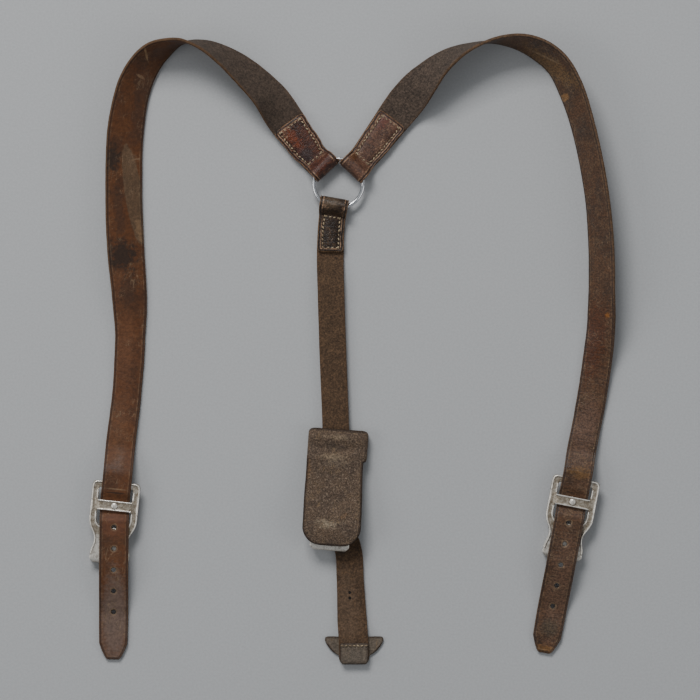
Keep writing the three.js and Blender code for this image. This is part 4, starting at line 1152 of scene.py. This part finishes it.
def openingEdge(grow):   # right half of the opening's lower edge and its side
    half = hookSizes["width"] / 2 - hookSizes["leg"] + grow
    bottom = hookSizes["opening"] + grow
    line = [np.array([half, hookSizes["top"] - hookSizes["topBar"] - 1.5]), np.array([half, -9.0])]
    line += bezier((half, -9), (half, -bottom + 1.5), (half - 3.5, -bottom), (half - 8, -bottom))
    line.append(np.array([0.0, -bottom]))
    return line


def beadAlong(line, height, radius, facets=8):   # a raised bead that follows a flat line
    line = np.array(line, float)
    ways = np.gradient(line, axis=0)
    ways /= np.linalg.norm(ways, axis=1)[:, None]
    points = []
    for spot, way in zip(line, ways):
        for j in range(facets):
            tilt = 2 * math.pi * j / facets
            sideways = np.array([-way[1], way[0]]) * radius * math.cos(tilt)
            points.append((spot[0] + sideways[0], spot[1] + sideways[1], height + radius * math.sin(tilt)))
    return points, loftFaces(len(line), facets)


def mirrored(line):
    return [p * np.array([-1, 1]) for p in line]


def makeHookShape():   # in the hook's own axes: x across, y up the strap from the stud, z away from the belt
    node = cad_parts["left_hook"]
    stamped = bmesh.new()
    stamped.from_mesh(node.data)
    bmesh.ops.remove_doubles(stamped, verts=stamped.verts, dist=1e-6)
    home = np.array([leftHookAt["x"], leftHookAt["y"], 0]) + shift
    turn = Matrix.Rotation(math.radians(-leftHookAt["turn"]), 4, "Z") @ Matrix.Translation(Vector(-home * mm))
    bmesh.ops.transform(stamped, matrix=turn, verts=stamped.verts)
    blank = ([np.array(v.co) / mm for v in stamped.verts], [tuple(v.index for v in f.verts) for f in stamped.faces])
    stamped.free()
    face = hookSizes["depth"]
    crossTop = crossBottom + hookSizes["sheet"]
    outer, inner = frameEdge(0.75), openingEdge(0.75)
    base = feltTogether(addPiece("hookBase", *blank, [hookMetal]), 0.36, 2)
    soft = vertexArray(base)
    legInside = hookSizes["width"] / 2 - hookSizes["leg"]
    bent = easeBetween(np.abs(soft[:, 0]), legInside - 2.5, legInside + 2.2) * (soft[:, 2] > face)
    soft[:, 2] -= bent * 0.88 * (soft[:, 2] - face)   # the crossbar comes down into the legs
    shells = [(list(soft), [tuple(p.vertices) for p in base.data.polygons])]
    bpy.data.objects.remove(base)
    for line in (outer, mirrored(outer), inner, mirrored(inner)):
        shells.append(beadAlong(line, face + 0.3, 0.7))
    reach = hookSizes["width"] / 2 - hookSizes["leg"] + 0.6
    for edge in (-1, 1):
        y = edge * (hookSizes["crossbar"] / 2 - 0.55)
        shells.append(beadAlong([(x, y) for x in np.linspace(-reach, reach, 9)], crossTop + 0.05, 0.62))
    points, faces = joinShells(shells)
    hook = addPiece("hookBlank", points, faces, [hookMetal])
    feltTogether(hook, 0.34, 4)
    return hook


def hookPolishAndSheen(points):   # handled metal: raised edges are polish; the neck, foot bend and knob are partly polish and partly painted highlight
    x, y, z = points[:, 0], points[:, 1], points[:, 2]
    raised = easeBetween(z, hookSizes["depth"] + 0.25, hookSizes["depth"] + 0.7)
    cross = (np.abs(y) < hookSizes["crossbar"] / 2 + 0.6) & (np.abs(x) < hookSizes["width"] / 2 - hookSizes["leg"])
    crossEdge = easeBetween(np.abs(y), hookSizes["crossbar"] / 2 - 1.3, hookSizes["crossbar"] / 2 - 0.7)
    raised = np.where(cross, crossEdge, raised)
    leg = (np.abs(y) < 5.5) & ~cross
    fromRim = np.abs(np.abs(x) - hookSizes["width"] / 2 + 0.75)
    raised = np.where(leg, raised * easeBetween(fromRim, 1.3, 0.6), raised)
    # neck, foot bend and knob: partly polish, partly painted highlight
    neckAndFootSheen = easeBetween(-y, hookSizes["neckAt"] - 6, hookSizes["neckAt"] - 1) * 0.8
    knobSheen = hump(np.hypot(x - 11.1, y - 16.5), 0, 2.6)
    return np.clip(np.maximum.reduce([raised, neckAndFootSheen, knobSheen]), 0, 1)


hookBlank = makeHookShape()
blankPoints = vertexArray(hookBlank)
blankPolishAndSheen = hookPolishAndSheen(blankPoints)


def studProfile():
    seat = crossBottom + hookSizes["sheet"] + gap
    low = underCross - 1.1
    return [(0, low), (1.0, low), (1.4, low + 0.4), (1.4, seat - 0.05), (2.25, seat), (2.5, seat + 0.18),
            (2.52, seat + 0.45), (2.3, seat + 0.85), (1.75, seat + 1.12), (1.5, seat + 1.10), (1.35, seat + 1.20),
            (0.7, seat + 1.3), (0, seat + 1.32)]


def spinProfile(profile, facets=36):
    points = []
    for radius, height in profile[1:-1]:
        for j in range(facets):
            tilt = 2 * math.pi * j / facets
            points.append((radius * math.cos(tilt), radius * math.sin(tilt), height))
    faces = loftFaces(len(profile) - 2, facets, False)
    first, last = len(points), len(points) + 1
    points += [(0, 0, profile[0][1]), (0, 0, profile[-1][1])]
    top = (len(profile) - 3) * facets
    for j in range(facets):
        faces.append((j, first, (j + 1) % facets))
        faces.append((top + j, top + (j + 1) % facets, last))
    return points, faces


def placeHook(prefix, place, rear):
    height = rearFloor + hookSizes["depth"] if rear else 0.0
    matrix = Matrix.Rotation(math.radians(place["turn"]), 3, "Z")
    if rear:
        matrix = matrix @ Matrix.Rotation(math.pi, 3, "Y")
    turned = np.array(matrix)
    home = np.array([place["x"], place["y"], height]) + shift
    hook = hookBlank.copy()
    hook.data = hookBlank.data.copy()
    hook.name = f"{prefix}BeltHook"
    hook.data.name = hook.name
    bpy.context.scene.collection.objects.link(hook)
    setVertices(hook, blankPoints @ turned.T + home)
    studPoints, studFaces = spinProfile(studProfile())
    stud = addPiece(f"{prefix}HookStud", np.array(studPoints) @ turned.T + home, studFaces, [hookMetal])
    for piece, polishAndSheen, node in ((hook, blankPolishAndSheen, "hook"), (stud, 0.85, "stud")):
        setPolishAndSheen(piece, polishAndSheen)
        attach(piece, f"{prefix}_hook")
        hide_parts(f"{prefix}_{node}")
    print(f"{prefix} hook placed:", len(hook.data.polygons), "faces")


placeHook("left", leftHookAt, False)
placeHook("right", rightHookAt, False)
placeHook("rear", rearHookAt, True)
bpy.data.objects.remove(hookBlank)


# Chafe pad
padTurn = math.radians(padSizes["turn"])
padAxes = np.array([[math.cos(padTurn), -math.sin(padTurn), 0],
                    [math.sin(padTurn), math.cos(padTurn), 0], [0, 0, 1]])
padHome = np.array([padSizes["x"], padSizes["y"], 0]) + shift
padHigh = 2 * padSizes["wall"] + padSizes["room"]


def throughKnots(value, knots):   # smooth curve through (place, height) pairs, places rising
    xs, ys = np.array(knots).T
    fine = np.linspace(xs[0], xs[-1], 400)
    curve = softened(np.interp(fine, xs, ys), 220)
    return np.interp(value, fine, curve)


def padFront(x, y):   # how far the front stands proud of its plain level
    ridges = throughKnots(y, [(-70, 0), (-8, 0.1), (1, 1.6), (5, 1.5), (11.5, -1.5), (17.5, 1.4),
                             (21, 0.8), (25, -1.9), (27, -2.4)])
    return ridges * (1 - 0.5 * np.clip(np.abs(x) / 24, 0, 1) ** 3)


def padFlapLevel(x, y):   # underside of the flap
    climb = throughKnots(-y, [(-4, 6.8), (0, 6.9), (8, 8.0), (20, 9.6), (34, 11.6), (44, 13.6), (48, 14.3),
                              (54, 15.1), (58, 15.4), (63, 14.7), (68, 14.2), (70, 14.1)])
    crown = 0.7 * hump(y, -56, 9) * hump(x, 0, 15) - 0.5 * hump(y, -22, 16) * hump(x, 0, 12)
    return climb + crown


def padHalf(y):   # half width of the flap, down from the sleeve
    half = throughKnots(-y, [(-4, 22.8), (0, 22.8), (6, 22.7), (16, 22.8), (27, 23.2), (40, 23.4),
                            (60, 23.4), (70, 23.4)])
    corner = 15.0
    near = np.clip(corner - (padSizes["flapLength"] + y), 0, corner)
    return half - (corner - np.sqrt(np.maximum(corner ** 2 - near ** 2, 0)))


def padDrift(y):   # the flap hangs a little to one side
    return -1.25 + 0.85 * easeBetween(-y, 5, 55)


def padSleeve():
    wall, length = padSizes["wall"], padSizes["length"]
    rows, outer, inner = np.linspace(length, 0, 36), [], []
    for y in rows:
        near = max(0.0, 4.0 - (length - y))
        half = padSizes["width"] / 2 - (4.0 - math.sqrt(16 - near ** 2)) - 0.8 * hump(y, 0, 2.2)
        for loop, grow in ((outer, 0.0), (inner, -wall)):
            reachX, low, high = half + grow, -grow, padHigh + grow
            corner = 3.0 + grow * 0.7
            ring = []
            for cx, cz, first in ((1, 1, 0), (-1, 1, 90), (-1, -1, 180), (1, -1, 270)):
                for k in range(7):
                    tilt = math.radians(first + 15 * k)
                    ring.append((cx * (reachX - corner) + corner * math.cos(tilt),
                                 (high - corner if cz > 0 else low + corner) + corner * math.sin(tilt)))
                if cz > 0 and cx > 0:
                    ring += [(f * (reachX - corner), high) for f in np.linspace(1, -1, 22)[1:-1]]
                if cz < 0 and cx < 0:
                    ring += [(f * (reachX - corner), low) for f in np.linspace(-1, 1, 22)[1:-1]]
            for x, z in ring:
                front = easeBetween(z, 2.5, 6.5)
                loop.append((x, y, z + front * float(padFront(x, y))))
    around = len(outer) // len(rows)
    count = len(rows)
    faces = loftFaces(count, around, False)
    faces += [tuple(index + len(outer) for index in face[::-1]) for face in loftFaces(count, around, False)]
    for row in (0, count - 1):
        for step in range(around):
            here, ahead = row * around + step, row * around + (step + 1) % around
            faces.append((here, ahead, ahead + len(outer), here + len(outer)))
    return outer + inner, faces


def padFlap():
    rows = np.concatenate([np.linspace(3.5, -60, 70), np.linspace(-60.6, -padSizes["flapLength"], 18)])
    columns = np.linspace(-1, 1, 44)
    points = []
    for y in rows:
        half = float(padHalf(y))
        x = columns * max(half, 2.0) + float(padDrift(y))
        level = padFlapLevel(x, y) + padFront(x, y)
        edge = np.minimum((1 - np.abs(columns)) * half, padSizes["flapLength"] + y + 0.4)
        thin = 0.55 + 0.45 * easeBetween(edge, -0.2, 1.4)
        middle = level + padSizes["wall"] / 2
        top = np.column_stack([x, np.full_like(x, y), middle + padSizes["wall"] / 2 * thin])
        bottom = np.column_stack([x, np.full_like(x, y), middle - padSizes["wall"] / 2 * thin])[::-1]
        points.extend([*top, *bottom])
    return points, loftFaces(len(rows), 2 * len(columns))


def makePad():
    points, faces = joinShells([padSleeve(), padFlap()])
    piece = addPiece("chafePad", points, faces, [padLeather])
    feltTogether(piece, 0.6, 4)
    local = vertexArray(piece)
    x, y, z = local.T
    flapRim = np.minimum(padHalf(np.minimum(y, 0)) - np.abs(x - padDrift(y)), y + padSizes["flapLength"])
    sleeveRim = np.minimum(padSizes["length"] - y, 6)
    rim = np.where(y < 1, flapRim, np.where(z > 5, sleeveRim, 3))
    normals = np.zeros(len(piece.data.vertices) * 3)
    piece.data.vertices.foreach_get("normal", normals)
    facing = normals.reshape(-1, 3)[:, 2]
    outward = np.where(y < 0, facing > -0.3, ~((np.abs(x) < 22) & (z > 1.9) & (z < 7.4) & (facing < 0.2)))
    markLeather(piece, np.column_stack([y, x]), np.column_stack([np.clip(rim, 0, None), outward.astype(float)]))
    setVertices(piece, local @ padAxes.T + padHome)
    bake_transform(piece)
    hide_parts("pad_loop", "pad_flap")
    seam = [padAxes @ np.array([0, y, 0.35]) + padHome for y in np.linspace(2.5, 22.5, 12)]
    sewSeams("padStitches", [seam], "pad_loop", ["pad_seam"], Seed=7)
    print("pad shaped:", len(piece.data.polygons), "faces")


makePad()


# Toggle tab
tabSizes = {"wall": 1.6, "width": 24.4, "wings": 47.0, "wingTop": 22.2, "wingDepth": 15.4, "flap": 17.4,
            "end": -251.0, "x": 2.3}


def makeTab():
    wall, end = tabSizes["wall"], tabSizes["end"]
    radius = (2 * wall + leather + 2 * gap) / 2
    bend = end + radius
    wingTop = end + tabSizes["wingTop"]
    flapTop = end + tabSizes["flap"]
    path = [(y, wall / 2) for y in np.linspace(wingTop, bend, 26)]
    for angle in np.linspace(270, 90, 15)[1:]:
        tilt = math.radians(angle)
        path.append((bend + (radius - wall / 2) * math.cos(tilt), radius + (radius - wall / 2) * math.sin(tilt)))
    path += [(y, 2 * radius - wall / 2) for y in np.linspace(bend, flapTop, 22)[1:]]
    points = []
    columns = np.linspace(-1, 1, 26)
    path = np.array(path)
    ways = np.gradient(path, axis=0)
    ways /= np.linalg.norm(ways, axis=1)[:, None]
    for (y, z), way in zip(path, ways):
        low = max(0.0, 5.6 - (y - end))
        half = tabSizes["width"] / 2 - (5.6 - math.sqrt(5.6 ** 2 - low ** 2)) * 0.95
        if z > radius:
            high = max(0.0, 1.6 - (flapTop - y))
            half -= 0.9 + (1.6 - math.sqrt(max(1.6 ** 2 - high ** 2, 0)))
        normal = np.array([-way[1], way[0]])
        for sign in (1, -1):
            for c in columns * sign:
                puff = 0.35 * (1 - c * c) if z > radius and sign > 0 else 0
                offset = normal * -sign * (wall / 2 + puff)
                points.append((tabSizes["x"] + c * half, y + offset[0], z + offset[1]))
    fold = points, loftFaces(len(path), 2 * len(columns))
    half = tabSizes["wings"] / 2
    rim = [(half - 1.4, wingTop)]
    rim += [(half * f, wingTop + 0.3 * hump(abs(f) * half, 18, 5)) for f in np.linspace(0.9, -0.9, 20)]
    low = wingTop - tabSizes["wingDepth"]
    rim += bezier((1.4 - half, wingTop), (0.3 - half, wingTop), (-half, wingTop - 1.2), (-half, wingTop - 3), 5)
    rim += bezier((-half, wingTop - 3), (-half + 1.8, wingTop - 8), (6.4 - half, wingTop - 13.6),
                  (12 - half, low), 10)
    rim += [(x, low) for x in np.linspace(11 - half, half - 11, 12)]
    rim += bezier((half - 12, low), (half - 6.4, wingTop - 13.6), (half - 1.8, wingTop - 8),
                  (half, wingTop - 3), 10)
    rim += bezier((half, wingTop - 3), (half, wingTop - 1.2), (half - 0.3, wingTop), (half - 1.4, wingTop), 5)[:-1]
    levels = ((0.93, 0.05), (0.985, 0.3), (1.0, 0.8), (0.985, 1.3), (0.93, 1.6))
    middle = np.mean(rim, axis=0)
    wingPoints = []
    for share, z in levels:
        wingPoints += [(tabSizes["x"] + x * (1 - (1 - share) * 0.35), middle[1] + (y - middle[1]) * share, z)
                       for x, y in rim]
    wings = wingPoints, loftFaces(len(levels), len(rim))
    allPoints, faces = joinShells([fold, wings])
    piece = addPiece("toggleTab", allPoints, faces, [tabLeather])
    feltTogether(piece, 0.42, 4)
    local = vertexArray(piece)
    x, y, z = local[:, 0] - tabSizes["x"], local[:, 1], local[:, 2]
    wingCurve = 1.2 * (y - wingTop + tabSizes["wingDepth"]) + 1.4 * np.clip(half - 10 - np.abs(x), -9, 9)
    wingRim = np.minimum.reduce([half - np.abs(x), wingTop - y, wingCurve])
    flapRim = np.minimum.reduce([tabSizes["width"] / 2 - 0.9 - np.abs(x), flapTop - y, y - end + 0.6])
    rimAt = np.where(z > 2.6, flapRim, np.where(np.abs(x) > 12, np.maximum(wingRim, 0), 3))
    markLeather(piece, np.column_stack([y, x]), np.column_stack([np.clip(rimAt, 0, None), np.ones(len(x))]))
    setVertices(piece, local + shift)
    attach(piece, "back_strap")
    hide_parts("end_tab")
    top = 2 * radius + 0.3
    seamY = flapTop - 2.2
    seam = [np.array([tabSizes["x"] + s, seamY, top]) + shift for s in np.linspace(-9.4, 9.4, 8)]
    sewSeams("tabStitches", [seam], "back_strap", ["end_tab_seam"], Seed=9)
    print("tab folded:", len(piece.data.polygons), "faces")


makeTab()

# Floor, light and camera
floorSize = 3.0
bpy.ops.mesh.primitive_plane_add(size=floorSize, location=(0, 0, -0.0006))
floor = bpy.context.object
floor.name = "paleFloor"
paper, paperTree, paperShader, paperSpot = newMaterial("palePaper")
paperMask = ramp(paperTree, noise(paperTree, paperSpot, 0.6, 5.0, 0.7), 0.3, 0.7)
connect(paperTree, paperShader, {
    "Base Color": tint(paperTree, paperMask, (0.40, 0.405, 0.41), (0.45, 0.455, 0.46)), "Roughness": 0.95})
floor.data.materials.append(paper)

lampSizes = {
    "topSoftbox": {"at": (-0.8, 2.2, 2.1), "aim": (0, 0.0, 0), "width": 1.5, "height": 1.0, "power": 82.0},
    "leftFill": {"at": (-1.9, -0.2, 1.3), "aim": (0, 0, 0), "width": 1.2, "height": 1.0, "power": 9.0},
    "rightFill": {"at": (1.9, -0.6, 1.2), "aim": (0, 0, 0), "width": 1.2, "height": 1.0, "power": 6.0},
}
for lampName, lamp in lampSizes.items():
    light = bpy.data.lights.new(lampName, "AREA")
    light.shape = "RECTANGLE"
    light.size, light.size_y = lamp["width"], lamp["height"]
    light.energy = lamp["power"]
    holder = addObject(lampName, light)
    holder.location = lamp["at"]
    holder.rotation_euler = (Vector(lamp["aim"]) - Vector(lamp["at"])).to_track_quat("-Z", "Y").to_euler()
world = bpy.data.worlds.new("studioAir")
world.use_nodes = True
world.node_tree.nodes["Background"].inputs[0].default_value = (0.9, 0.95, 1.0, 1)
world.node_tree.nodes["Background"].inputs[1].default_value = 0.28
bpy.context.scene.world = world

cameraSizes = {"lens": 250.0, "sensor": 36.0, "view": 0.56, "x": -0.0017, "y": 0.0}
cameraData = bpy.data.cameras.new("overheadCamera")
cameraData.lens = cameraSizes["lens"]
cameraData.sensor_width = cameraSizes["sensor"]
cameraData.clip_end = 50
camera = addObject("overheadCamera", cameraData)
camera.location = (cameraSizes["x"], cameraSizes["y"],
                   cameraSizes["view"] * cameraSizes["lens"] / cameraSizes["sensor"])
bpy.context.scene.camera = camera
print("floor, light and camera set")
